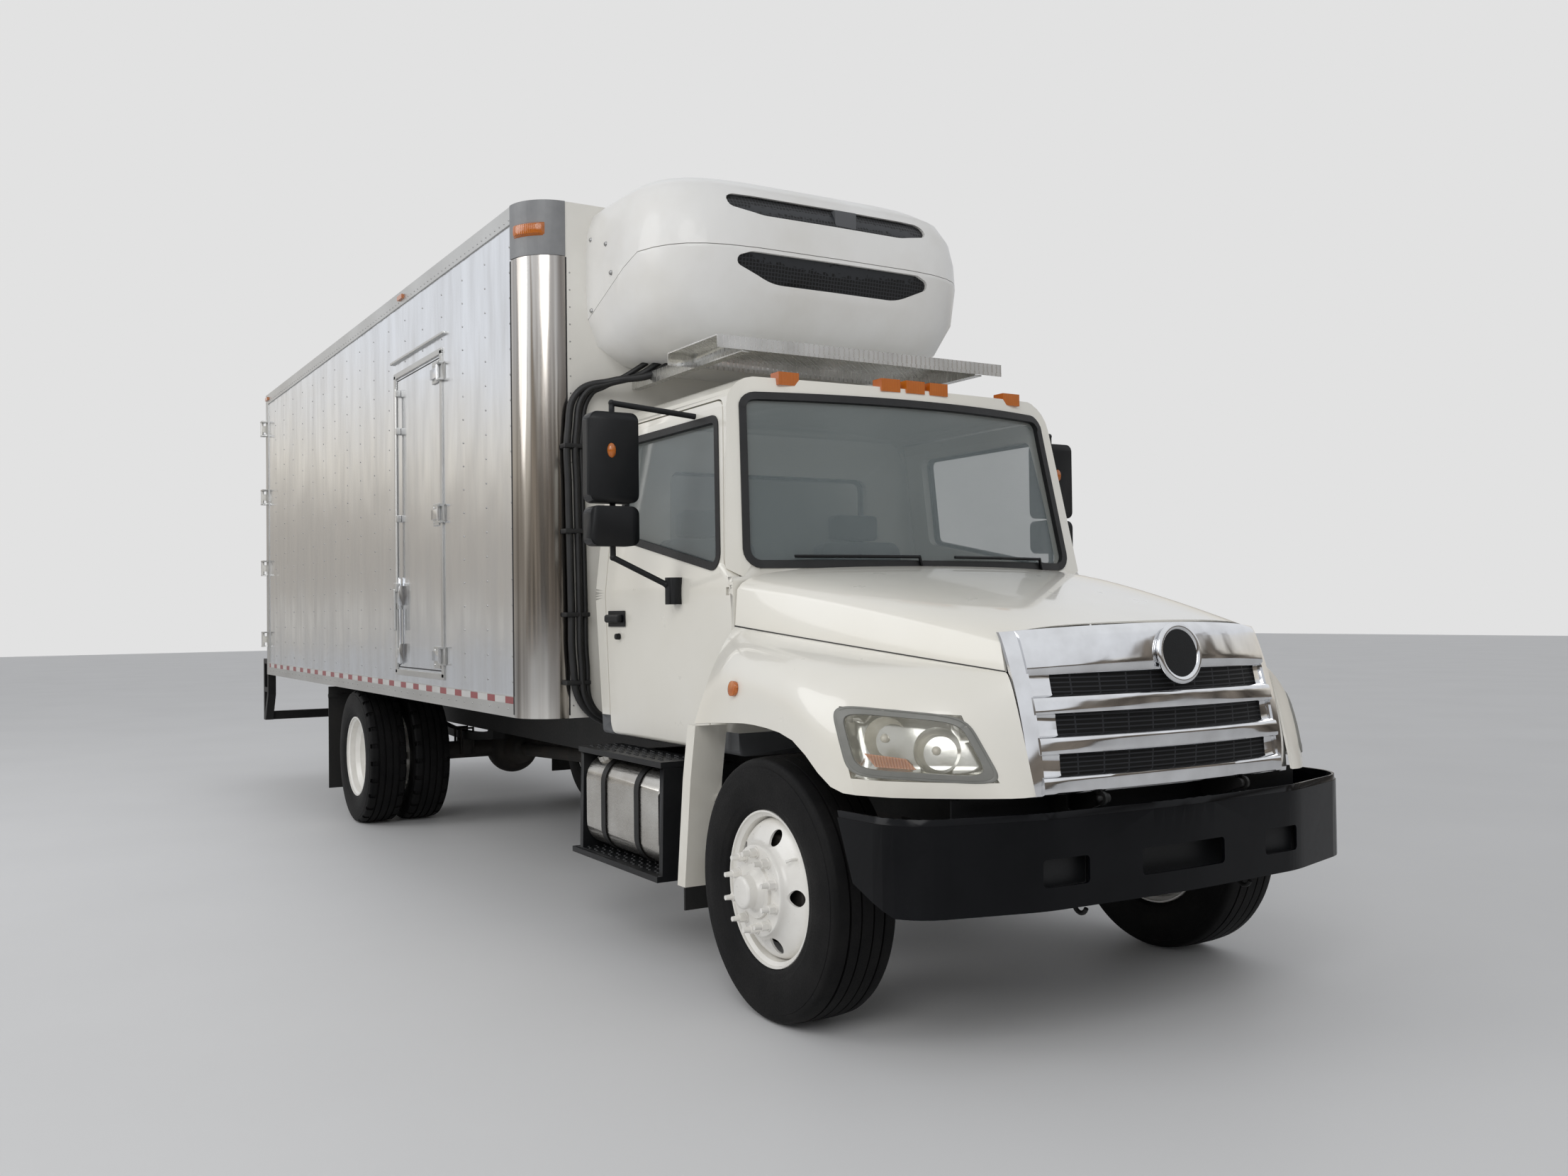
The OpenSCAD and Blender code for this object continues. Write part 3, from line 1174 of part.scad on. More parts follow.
// Side view of everything under the seam, which climbs from the box and runs level across the front
function under_seam(lift) = [[-box_front - over, 0], [0, 0],
    [0, unit_bottom + unit_h * seam_front_share + lift],
    [-box_front + unit_depth * seam_knee_share, unit_bottom + unit_h * seam_front_share + lift],
        [-box_front - over, unit_bottom + unit_h * seam_back_share + lift]];
slot_half_w = 690;
slot_h = 105;
slot_depth = 70;
slot_z_share = 0.79;
low_slot_z_share = 0.47;
low_slot_sag = 60;
slot_foot_share = 0.6;
slot_head_share = 0.8;
low_slot_w_share = 0.9;
low_slot_h_share = 0.8;
slot_floor_share = 0.8;
function slot_rows(half, z, h, sag) = round_path([[-half, z, h / 3],
    [-half * slot_foot_share, z - h / 2 - sag, half / 2], [half * slot_foot_share, z - h / 2 - sag, half / 2],
    [half, z, h / 3], [half * slot_head_share, z + h / 2, h / 3], [-half * slot_head_share, z + h / 2, h / 3]]);
module unit_slot(x0, half, z, h, sag) front_slab(-box_front + x0, 0, slot_rows(half, z, h, sag));
upper_slot_z = unit_bottom + unit_h * slot_z_share;
lower_slot_z = unit_bottom + unit_h * low_slot_z_share;
slot_floor = unit_depth * slot_floor_share;
low_slot_half_w = slot_half_w * low_slot_w_share;
low_slot_h = slot_h * low_slot_h_share;
module unit_upper() color("#eceae5") difference() {
    unit_solid();
    side_slab(-2 * unit_half_w, 2 * unit_half_w, under_seam(seam_gap / 2));
    unit_slot(slot_floor, slot_half_w, upper_slot_z, slot_h, 0);
}
module unit_lower() color("#e4e2dd") difference() {
    intersection() {
        unit_solid();
        side_slab(-2 * unit_half_w, 2 * unit_half_w, under_seam(-seam_gap / 2));
    }
    unit_slot(slot_floor, low_slot_half_w, lower_slot_z, low_slot_h, low_slot_sag);
}
grille_set = 18;
module unit_grilles() color("#1a1b1c") intersection() {
    translate([-grille_set, 0, 0]) unit_solid();
    union() {
        unit_slot(slot_floor, slot_half_w - pin_gap, upper_slot_z, slot_h - 2 * pin_gap, 0);
        unit_slot(slot_floor, low_slot_half_w - pin_gap, lower_slot_z, low_slot_h - 2 * pin_gap, low_slot_sag);
    }
}
walk_front = 903;
walk_rear = 1410;
walk_half_w = 833;
walk_clear = 18;
walk_top = unit_bottom - walk_clear;
walk_t = 6;
walk_lip = 60;
walk_beam_w = 46;
walk_beam_h = 62;
// Places of the beams across, as shares of the platform's half width
walk_beam_shares = [-0.82, 0.82];
// Tread plate with turned down edges on two beams that run back to the box
module walkway() color("#b4b6b8") {
    block([-walk_rear, -walk_half_w, walk_top - walk_t], [-walk_front, walk_half_w, walk_top]);
    for (x = [-walk_rear, -walk_front - walk_t]) block([x, -walk_half_w, walk_top - walk_lip],
        [x + walk_t, walk_half_w, walk_top]);
    for (share = walk_beam_shares) translate([0, share * walk_half_w, 0]) difference() {
        block([-box_front, -walk_beam_w / 2, walk_top - walk_t - walk_beam_h],
            [-walk_front - walk_t, walk_beam_w / 2, walk_top - walk_t]);
        block([-box_front + walk_t, walk_t - walk_beam_w / 2, walk_top - walk_beam_h],
            [-walk_front, walk_beam_w, walk_top - 2 * walk_t]);
    }
}
hose_r = 20;
HOSE_SIDES = 8;
// Route of the unit's hoses down the front wall to the frame, in the frame of the front axle
hose_route = [[-box_front, -760, 2770], [-2060, -820, 2760], [-2050, -960, 2740], [-2050, -1050, 2680],
    [-2052, -1062, 2500], [-2054, -1058, 2200],
              [-2054, -1050, 1900], [-2052, -1046, 1600], [-2050, -1040, 1300], [-2050, -1010, 1120],
                  [-2050, -900, 1000], [-2050, -700, 930], [-2050, -480, 900], [-2050, -frame_w / 2, 898]];
function hose_ring(i) = let (p = hose_route[i], a = hose_route[max(0, i - 1)],
    b = hose_route[min(len(hose_route) - 1, i + 1)],
        d = i == 0 ? [1, 0, 0] : i == len(hose_route) - 1 ? [0, 1, 0] : unit(b - a),
            s = unit(cross(d, abs(d[0]) > 0.9 ? [0, 0, 1] : [1, 0, 0])), u = cross(d, s))
    [for (k = [0:HOSE_SIDES - 1]) p + hose_r * (cos(360 * k / HOSE_SIDES) * s
        + sin(360 * k / HOSE_SIDES) * u)];
module unit_hoses() color("#19191a") loft([for (i = [0:len(hose_route) - 1]) hose_ring(i)]);

// Dock frame and underride guard at the rear

dock_low = 567;
dock_top = 1160;
dock_w = 46;
dock_y = 1285;
dock_t = 70;
dock_bar_h = 80;
dock_bar_d = 70;
dock_leg_y = 420;
module rear_bumper() color("#171718") {
    mid = (dock_low + dock_top) / 2;
    both() difference() {
        side_slab(dock_y - dock_t, dock_y, [[-truck_rear, dock_low], [-truck_rear + 2 * dock_w, dock_low],
            [-box_rear, mid - dock_w], [-box_rear, dock_top], [-truck_rear, dock_top]]);
        side_slab(dock_y - 2 * dock_t, dock_y + over, [[-truck_rear + dock_w, mid + dock_w / 2],
            [-box_rear - dock_w, mid + dock_w / 2], [-box_rear - dock_w, dock_top - dock_w],
            [-truck_rear + dock_w, dock_top - dock_w]]);
        side_slab(dock_y - 2 * dock_t, dock_y + over, [[-truck_rear + dock_w, dock_low + dock_w * 1.5],
            [-box_rear - dock_w * 1.2, mid - dock_w / 2], [-truck_rear + dock_w, mid - dock_w / 2]]);
    }
    block([-truck_rear, dock_t - dock_y, dock_top - dock_bar_h],
        [-truck_rear + dock_bar_d, dock_y - dock_t, dock_top]);
    block([-truck_rear, dock_t - dock_y, dock_low], [-truck_rear + dock_bar_d, dock_y - dock_t,
        dock_low + dock_bar_h]);
    both() block([-truck_rear + dock_bar_d, dock_leg_y - dock_w, dock_top - dock_bar_h],
        [-box_rear, dock_leg_y, dock_top]);
}

// Hood, fenders, grille and lamps, which tilt forward together

hood_rear = 462;
hood_nose = 978;
hood_bow = 113;
hood_front_x = 776;
hood_front_bow = 178;
split_rear_z = 1494;
split_front_z = 1333;
hood_rear_z = 1722;
hood_front_z = 1480;
hood_crown = 24;
hood_square = 6.67;
hood_lead = 50;
hood_taper = 1.1;
hood_curve = 1.25;
HOOD_LONG = 9;
split_gap = 0.5;
// Places across the hood from its middle, as shares of its half width
hood_v_shares = [0, 0.15, 0.3, 0.45, 0.6, 0.72, 0.82, 0.89, 0.94, 0.97, 0.99, 1];
function lean_in(p, centre, t) = p + t * unit(centre - p);
// A point of the hood: u runs from its rear edge to its front edge, v from the right split (-1) to the
// left (1)
function hood_point(u, v) =
    let (w = lerp(hood_half_w, hood_front_half_w, pow(u, hood_taper)),
        low = lerp(split_rear_z, split_front_z, u),
         top = lerp(hood_rear_z, hood_front_z, pow(u, hood_curve)),
         rise = pow(1 - pow(abs(v), hood_square), 1 / hood_square), bow = 1 - v * v,
         rear = -hood_rear + hood_bow * bow, front = hood_front_x + hood_front_bow * bow
             + hood_lead * (1 - rise))
    [lerp(rear, front, u), w * v, low + (top - low) * rise + hood_crown * bow];
module hood() color(cab_white) {
    n = len(hood_v_shares) - 1;
    across = [each [for (k = [n:-1:1]) hood_v_shares[k]], each -hood_v_shares];
    outer = [for (i = [0:HOOD_LONG]) [for (v = across) hood_point(i / HOOD_LONG, v)]];
    inner = [for (row = outer) [for (p = row) lean_in(p, [p[0], 0, split_front_z - hood_crown], hood_t)]];
    panel(outer, inner, function (i, j) true);
}
fender_low = 915;
hood_len = hood_rear + hood_nose;
fender_h = split_rear_z - fender_low;
// Fender sections from the door to the grille. Columns: place along the split as a share of the hood's
// length, then
// as shares of the hood's length, the fender's half width and its height x, y and z of the lower edge,
// bulge, fullness
fender_shares = [
    [0, -0.067, 0.991, 0.305, 0, 0.25],
    [0.139, 0.113, 1, 0.339, 0.007, 0.8],
    [0.325, 0.293, 1, 0.353, 0.009, 1],
    [0.47, 0.481, 0.998, 0.287, 0.009, 1],
    [0.559, 0.637, 0.983, 0.034, 0.013, 1],
    [0.64, 0.751, 0.935, 0, 0.03, 1],
    [0.753, 0.877, 0.806, 0, 0.078, 1],
    [0.858, 0.981, 0.642, 0.002, 0.112, 1],
    [1, 0.998, 0.565, 0.005, 0.009, 1]];
// Where the fender's section bends: along, across, along and up, as shares of the way from the split to
// the lower edge
fender_bend_shares = [0.3, 0.95, 0.62, 0.55];
fender_heart_share = 0.4;
FENDER_FINE = 3;
FENDER_WIDE = 14;
// The headlamp's opening: first and last of the fender's fine rows, and of its steps from the split down
LAMP_ROWS = [14, 21];
LAMP_STEPS = [8, 13];
function row_at(t) = let (n = len(fender_shares) - 1, i = min(n - 1, floor(t)), f = t - i,
        a = fender_shares[max(0, i - 1)], b = fender_shares[i], c = fender_shares[i + 1],
            d = fender_shares[min(n, i + 2)])
    b + f * (c - a) / 2 + f * f * (a - 2.5 * b + 2 * c - d / 2)
        + f * f * f * (1.5 * b - 1.5 * c + d / 2 - a / 2);
function fender_place(x, y, z) = [-hood_rear + x * hood_len, y * fender_half_w, fender_low + z * fender_h];
function fender_point(t, s) =
    let (r = row_at(t), a = hood_point(min(1, max(0, r[0])), 1) - [0, 0, split_gap],
         d = fender_place(r[1], r[2], r[3]), out = [0, r[4] * fender_half_w, 0],
         k = fender_bend_shares, b = [lerp(a[0], d[0], k[0]), lerp(a[1], d[1], k[1]), a[2] + split_gap]
             + out,
         c = [lerp(a[0], d[0], k[2]), d[1], lerp(d[2], a[2], k[3])] + out)
    bezier(a, lerp(lerp(a, d, 1 / 3), b, r[5]), lerp(lerp(a, d, 2 / 3), c, r[5]), d, s);
fender_heart = [100, 560, 1010];
function fender_inner(p, t) = lean_in(p, [lerp(p[0], fender_heart[0], fender_heart_share), fender_heart[1],
    fender_heart[2]], t);
module fenders() color(cab_white) both() {
    rows = (len(fender_shares) - 1) * FENDER_FINE;
    outer = [for (i = [rows:-1:0]) [for (j = [0:FENDER_WIDE]) fender_point(i / FENDER_FINE,
        j / FENDER_WIDE)]];
    inner = [for (row = outer) [for (p = row) fender_inner(p, hood_t)]];
    lamp = function (i, j) let (k = rows - i - 1)
        k >= LAMP_ROWS[0] && k < LAMP_ROWS[1] && j >= LAMP_STEPS[0] && j < LAMP_STEPS[1];
    panel(outer, inner, function (i, j) !lamp(i, j));
}
lamp_depth = 75;
lamp_gap_share = 0.002;
side_lamp_t = 1.38;
side_lamp_step = 0.01;
side_lamp_r = 30;
side_lamp_share = 0.74;
// Headlamps fill their openings in the fenders, and a small lamp stands on each fender's side
module front_lamps() color("#d8dadb") both() {
    inset = function (pair, t) lerp(pair[0], pair[1], lerp(lamp_gap_share, 1 - lamp_gap_share, t));
    ni = LAMP_ROWS[1] - LAMP_ROWS[0];
    nj = LAMP_STEPS[1] - LAMP_STEPS[0];
    grid = [for (i = [ni:-1:0]) [for (j = [0:nj])
        fender_point(inset(LAMP_ROWS, i / ni) / FENDER_FINE, inset(LAMP_STEPS, j / nj) / FENDER_WIDE)]];
    back = [for (row = grid) [for (p = row) fender_inner(p, lamp_depth)]];
    panel(grid, back, function (i, j) true);
    foot = fender_point(side_lamp_t, side_lamp_share);
    out = unit(cross(fender_point(side_lamp_t + side_lamp_step, side_lamp_share) - foot,
                     fender_point(side_lamp_t, side_lamp_share + side_lamp_step) - foot));
    rod(foot + pin_gap * out, foot + lamp_proud * out, side_lamp_r);
}
grille_half_w = hood_front_half_w;
grille_low = 912;
grille_top = 1470;
grille_t = 14;
grille_corner_top = 794;
grille_corner_low = 945;
grille_bow_top = 178;
grille_bow_low = 42;
grille_top_crown = 26;
bar_bulge = 14;
slot_end_share = 0.82;
// Rows of the grille from its lower edge up: height as a share, bulge as a share, and 1 where an open slot
// starts above the row
grille_row_shares = [[0, 0, 0], [0.06, 1, 0], [0.118, 0, 1], [0.24, 0, 0], [0.3, 1, 0], [0.36, 0, 1],
    [0.482, 0, 0], [0.542, 1, 0], [0.602, 0, 1],
                     [0.724, 0, 0], [0.80, 0.8, 0], [0.9, 1, 0], [1, 0, 0]];
GRILLE_WIDE = 20;
grille_lean_share = 0.6;
function grille_point(row, v, set) =
    [lerp(grille_corner_low, grille_corner_top, row[0] * lerp(1, row[0], grille_lean_share))
        + lerp(grille_bow_low, grille_bow_top, row[0]) * (1 - v * v) + bar_bulge * row[1] - set,
     v * grille_half_w, lerp(grille_low, grille_top, row[0])
         + grille_top_crown * row[0] * row[0] * (1 - v * v)];
badge_z = 1385;
// The grille's row that the ring stands on
badge_row_shares = [0.8, 0.8, 0];
badge_r = 92;
badge_t = 11;
module grille() color("#d6d8da") {
    rows = grille_row_shares;
    outer = [for (j = [0:GRILLE_WIDE]) [for (row = rows) grille_point(row, 1 - 2 * j / GRILLE_WIDE, 0)]];
    inner = [for (j = [0:GRILLE_WIDE]) [for (row = rows) grille_point(row, 1 - 2 * j / GRILLE_WIDE,
        grille_t)]];
    slot = function (i, j) rows[j][2] == 1 && abs(1 - (2 * i + 1) / GRILLE_WIDE) < slot_end_share;
    panel(outer, inner, function (i, j) !slot(i, j));
    // Plain ring on the upper band
    translate([grille_point(badge_row_shares, 0, 0)[0] + badge_t / 3, 0, badge_z]) along_x()
        rotate_extrude() translate([badge_r, 0]) circle(r = badge_t, $fn = 24);
    // Lugs that turn on the frame's pivot pins
    lug_y = hood_pin_y + hood_lug_gap;
    both() difference() {
        union() {
            translate([hood_pivot_x, lug_y, hood_pivot_z]) along_y()
                cylinder(r = hood_lug_r, h = hood_ear_t);
            block([hood_pivot_x - hood_lug_r, lug_y, hood_pivot_z],
                  [hood_pivot_x, lug_y + hood_ear_t, grille_low + 2 * hood_lug_r]);
        }
        translate([hood_pivot_x, 0, hood_pivot_z]) along_y()
            cylinder(r = hood_pin_r + pin_gap, h = 2 * hood_pin_y);
    }
}
screen_gap = 0.8;
screen_t = 8;
screen_low_share = 0.09;
screen_top_share = 0.75;
module grille_screen() color("#141516") {
    rows = [[screen_low_share, 0, 0],
            each [for (row = grille_row_shares)
                if (row[1] == 0 && row[0] > screen_low_share && row[0] < screen_top_share) row],
            [screen_top_share, 0, 0]];
    sheet = function (set) [for (j = [1:GRILLE_WIDE - 1]) [for (row = rows)
        grille_point([row[0], 0, 0], 1 - 2 * j / GRILLE_WIDE, set)]];
    outer = sheet(grille_t + screen_gap);
    inner = sheet(grille_t + screen_gap + screen_t);
    panel(outer, inner, function (i, j) true);
}

// Cab doors with their glass and mirrors

module door_left() color(cab_white) difference() {
    intersection() { cab_solid(0); door_zone(0); }
    side_slab(0, cab_half_w + over, round_path(window_rows));
    hinge_room();
}
module door_glass_left() color("#5d6668", 0.5) intersection() {
    cab_skin(glass_in, glass_t);
    side_slab(0, cab_half_w + over, round_path(grown(window_rows, -pin_gap)));
}
mirror_x = 1050;
mirror_d = 84;
mirror_in = 1180;
mirror_out = 1412;
mirror_low = 2040;
mirror_top = 2440;
mirror_r = 36;
small_low = 1850;
small_top = 2026;
arm_r = 13;
arm_top_z = 2486;
arm_foot_x = 940;
arm_foot_z = 2430;
arm_y = 1290;
arm_low_z = 1800;
arm_base_x = 980;
arm_base_z = 1650;
base_r = 42;
base_h = 60;
module mirror_head(low, top) front_slab(-mirror_x - mirror_d / 2, -mirror_x + mirror_d / 2,
    round_path([[mirror_in, low, mirror_r], [mirror_out, low, mirror_r], [mirror_out, top, mirror_r],
        [mirror_in, top, mirror_r]]));
// Mirror heads on one upright, whose arms stand on the door above and below the window
module mirrors_left() color("#151516") {
    upright = [[-mirror_x, arm_y, arm_top_z], [-mirror_x, arm_y, arm_low_z]];
    foot = [-arm_foot_x, cab_half_w - 2 * cab_wall, arm_foot_z];
    base = [-arm_base_x, cab_half_w + base_r / 3, arm_base_z];
    knee = base + [0, base_r, base_h / 2];
    difference() {
        union() {
            mirror_head(mirror_low, mirror_top);
            mirror_head(small_low, small_top);
            for (arm = [upright, [upright[0], foot], [upright[1], knee], [knee, base - [0, 0, base_h / 2]]])
                rod(arm[0], arm[1], arm_r);
            for (bend = [upright[0], upright[1], knee]) ball(bend, arm_r);
            translate(base - [0, 0, base_h]) cylinder(r = base_r, h = 2 * base_h);
        }
        front_slab(-cab_back_x - over, 0, cab_front_view(0));
    }
}

placed() frame_rails();
placed() front_axle();
placed() rear_axle();
placed() leaf_springs();
placed() engine();
placed() exhaust();
placed() cab_floor();
placed() cab_front();
placed() cab_back();
placed() cab_roof();
placed() cab_glass();
placed() dashboard();
placed() seats();
placed() wipers();
placed() marker_lamps();
placed() front_bumper();
placed() mudguards();
placed() mudflaps();
placed() fuel_tank();
placed() battery_box();
placed() cab_steps();
placed() box_floor();
placed() box_side_right();
placed() box_side_left();
placed() box_front_wall();
placed() box_roof();
placed() box_corners();
placed() box_rear_frame();
placed() unit_upper();
placed() unit_lower();
placed() unit_grilles();
placed() walkway();
placed() unit_hoses();
placed() rear_bumper();
placed() hood();
placed() fenders();
placed() grille();
placed() grille_screen();
placed() front_lamps();
placed() right_side() door_left();  // door_right
placed() door_left();
placed() right_side() door_glass_left();  // door_glass_right
placed() door_glass_left();
placed() right_side() mirrors_left();  // mirrors_right
placed() mirrors_left();
placed() side_door();
placed() right_side() rear_door_left();  // rear_door_right
placed() rear_door_left();
placed() right_side() knuckle_left();  // knuckle_right
placed() knuckle_left();
placed() tie_rod();
placed() steering_wheel();
placed() right_side() tyre_front_left();  // tyre_front_right
placed() right_side() wheel_front_left();  // wheel_front_right
placed() tyre_front_left();
placed() wheel_front_left();
placed() right_side() tyres_rear_left();  // tyres_rear_right
placed() right_side() wheels_rear_left();  // wheels_rear_right
placed() tyres_rear_left();
placed() wheels_rear_left();
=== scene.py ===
"""A refrigerated truck: bonneted cab on a two-axle frame, insulated box, cooling unit above the cab.

Sizes are in metres in the truck's own frame: X forward, Y to the left, Z up from the ground.
"""

import json
import math

import bmesh
import bpy
from mathutils import Matrix, Vector
from mathutils.bvhtree import BVHTree


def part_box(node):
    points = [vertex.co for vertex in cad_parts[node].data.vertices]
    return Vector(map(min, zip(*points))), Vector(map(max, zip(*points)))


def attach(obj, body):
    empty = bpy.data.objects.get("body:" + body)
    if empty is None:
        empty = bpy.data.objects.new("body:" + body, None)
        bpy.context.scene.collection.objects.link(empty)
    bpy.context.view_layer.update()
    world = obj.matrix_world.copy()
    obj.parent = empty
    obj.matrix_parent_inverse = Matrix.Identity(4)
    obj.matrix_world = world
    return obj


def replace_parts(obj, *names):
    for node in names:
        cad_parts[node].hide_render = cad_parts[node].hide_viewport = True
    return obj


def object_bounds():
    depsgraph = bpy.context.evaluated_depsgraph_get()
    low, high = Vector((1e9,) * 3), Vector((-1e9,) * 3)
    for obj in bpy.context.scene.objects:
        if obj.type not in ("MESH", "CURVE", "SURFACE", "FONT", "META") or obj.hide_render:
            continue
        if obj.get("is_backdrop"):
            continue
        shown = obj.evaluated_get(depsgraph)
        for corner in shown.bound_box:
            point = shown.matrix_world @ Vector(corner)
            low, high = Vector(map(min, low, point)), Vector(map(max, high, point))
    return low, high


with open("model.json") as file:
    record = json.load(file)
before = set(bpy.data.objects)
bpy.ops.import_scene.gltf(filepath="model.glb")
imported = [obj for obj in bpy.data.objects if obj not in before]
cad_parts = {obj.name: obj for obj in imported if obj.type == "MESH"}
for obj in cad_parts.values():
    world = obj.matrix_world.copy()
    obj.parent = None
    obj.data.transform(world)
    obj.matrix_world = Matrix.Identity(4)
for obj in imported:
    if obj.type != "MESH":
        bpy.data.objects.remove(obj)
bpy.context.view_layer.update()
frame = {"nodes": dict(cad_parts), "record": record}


# ---- Frame, springs and axles: two pressed steel rails with cross-members, on steel leaf springs.
# Brushed over with satin black chassis paint, which is dusty in patches; axles and knuckles are bare castings.


def maths(operation, swapped=False):
    """A method that makes a Math node of a wire and another wire or number."""
    def method(self, other):
        values = (other, self) if swapped else (self, other)
        return self.graph.node("ShaderNodeMath", {"operation": operation}, dict(enumerate(values)))
    return method


class Wire:
    """A socket of a node tree. Sums on wires make Math nodes."""

    def __init__(self, graph, socket):
        self.graph = graph
        self.socket = socket

    __add__, __radd__ = maths("ADD"), maths("ADD", swapped=True)
    __sub__, __rsub__ = maths("SUBTRACT"), maths("SUBTRACT", swapped=True)
    __mul__, __mod__ = maths("MULTIPLY"), maths("FLOORED_MODULO")
    __lt__, __gt__ = maths("LESS_THAN"), maths("GREATER_THAN")
    at_least = maths("MAXIMUM")


class Graph:
    """A node tree, filled through a few short methods."""

    def __init__(self, tree):
        self.tree = tree

    def link(self, value, socket):
        if isinstance(value, Wire):
            self.tree.links.new(value.socket, socket)
        else:
            socket.default_value = value

    def node(self, kind, settings, sockets, output=0):
        made = self.tree.nodes.new(kind)
        for key, value in settings.items():
            setattr(made, key, value)
        for key, value in sockets.items():
            self.link(value, made.inputs[key])
        return Wire(self, made.outputs[output])

    def place(self, stretch=(1, 1, 1)):
        spot = self.node("ShaderNodeTexCoord", {}, {}, "Object")
        return self.node("ShaderNodeVectorMath", {"operation": "MULTIPLY"}, {0: spot, 1: stretch})

    def axis(self, letter):
        return self.node("ShaderNodeSeparateXYZ", {}, {0: self.place()}, letter)

    def noise(self, scale, detail=3.0, stretch=(1, 1, 1)):
        return self.node("ShaderNodeTexNoise", {},
                         {"Vector": self.place(stretch), "Scale": scale, "Detail": detail})

    def bands(self, direction, scale, stretch=(1, 1, 1), distortion=0.0):
        return self.node("ShaderNodeTexWave", {"wave_type": "BANDS", "bands_direction": direction},
                         {"Vector": self.place(stretch), "Scale": scale, "Distortion": distortion}, 1)

    def mix(self, share, first, second):
        return self.node("ShaderNodeMix", {"data_type": "RGBA", "clamp_factor": True},
                         {0: share, 6: first, 7: second}, 2)

    def tint(self, share, first, second):
        return self.mix(share, ink(first), ink(second))

    def bump(self, height, depth, strength=1.0):
        return self.node("ShaderNodeBump", {}, {"Strength": strength, "Distance": depth, "Height": height})


class Finish(Graph):
    """A material, with its principled shader's sockets set by name."""

    def __init__(self, name, **sockets):
        self.material = bpy.data.materials.new(name)
        self.material.use_nodes = True
        super().__init__(self.material.node_tree)
        self.set(**sockets)

    def set(self, **sockets):
        shader = self.tree.nodes["Principled BSDF"]
        for key, value in sockets.items():
            self.link(value, shader.inputs[key.replace("_", " ").title().replace("Ior", "IOR")])
        return self

    def coat(self, share, first, second, rough, height, depth, strength=1.0):
        """Two shades mixed by a share, a sheen, and a relief of so much height."""
        return self.set(base_color=self.tint(share, first, second), roughness=rough,
                        normal=self.bump(height, depth, strength))


def ink(code):
    """A colour from its six-figure web code."""
    parts = [int(code[i:i + 2], 16) / 255 for i in (0, 2, 4)]
    return tuple(c / 12.92 if c <= 0.04045 else ((c + 0.055) / 1.055) ** 2.4 for c in parts) + (1.0,)


def worn(name, colour, second, rough, patch=2.0, grain=90.0, depth=0.0002, **sockets):
    """A finish that drifts between two shades, with a fine grain in its sheen and its surface."""
    finish = Finish(name, **sockets)
    fine = finish.noise(grain, 4.0)
    drift = finish.noise(patch, 4.0)
    return finish.coat((drift - 0.3) * 2.2, colour, second, rough + (fine - 0.5) * 0.16, fine, depth)


def piece(name, bm, finish, body, sharp=32.0, even=True):
    """A finished piece from a bmesh: smooth within an angle, painted, and on its body."""
    mesh = bpy.data.meshes.new(name)
    bm.to_mesh(mesh)
    bm.free()
    for face in mesh.polygons:
        face.use_smooth = True
    mesh.set_sharp_from_angle(angle=math.radians(sharp))
    for one in finish if isinstance(finish, (list, tuple)) else [finish]:
        mesh.materials.append(one.material)
    made = bpy.data.objects.new(name, mesh)
    bpy.context.scene.collection.objects.link(made)
    if even:
        flat = made.modifiers.new("even_shading", "WEIGHTED_NORMAL")
        flat.keep_sharp = True
    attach(made, body)
    return made


def merged(node):
    """A copy of a construction mesh, its triangles joined at their corners."""
    bm = bmesh.new()
    bm.from_mesh(frame["nodes"][node].data)
    bmesh.ops.remove_doubles(bm, verts=bm.verts[:], dist=0.00003)
    for face in bm.faces:
        face.material_index = 0
    return bm


body_of = {}
for body, members in frame["record"]["behaviour"]["bodies"].items():
    for member in members:
        body_of[member] = body


def dress(node, finish, sharp=32.0, pick=None):
    """The construction shape itself, smoothly shaded; pick chooses the finish of a face by its number."""
    bm = merged(node)
    if pick:
        for face in bm.faces:
            face.material_index = pick(face)
    made = piece(node + "_skin", bm, finish, body_of[node], sharp)
    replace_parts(made, node)
    return made


def tube(bm, points, r, smooth=True, sides=3):
    """A round bar or hose through the points."""
    path = bpy.data.curves.new("path", "CURVE")
    path.dimensions = "3D"
    path.bevel_depth = r
    path.bevel_resolution = sides
    path.use_fill_caps = True
    path.resolution_u = 10
    line = path.splines.new("BEZIER")
    line.bezier_points.add(len(points) - 1)
    for knot, point in zip(line.bezier_points, points):
        knot.co = point
        knot.handle_left_type = knot.handle_right_type = "AUTO" if smooth else "VECTOR"
    holder = bpy.data.objects.new("path", path)
    bm.from_mesh(holder.to_mesh())
    holder.to_mesh_clear()
    bpy.data.objects.remove(holder)
    bpy.data.curves.remove(path)


chassis_black = worn("chassis_black", "0f1011", "1d1c1b", 0.5, patch=5.0, grain=60.0, depth=0.0006,
                     specular_ior_level=0.3)
cast_iron = worn("cast_iron", "232220", "39332d", 0.72, patch=8.0, grain=45.0, depth=0.0015)
for node in ("frame_rails", "leaf_springs", "rear_bumper"):
    dress(node, chassis_black)
for node in ("front_axle", "rear_axle", "knuckle_right", "knuckle_left", "tie_rod"):
    dress(node, cast_iron)

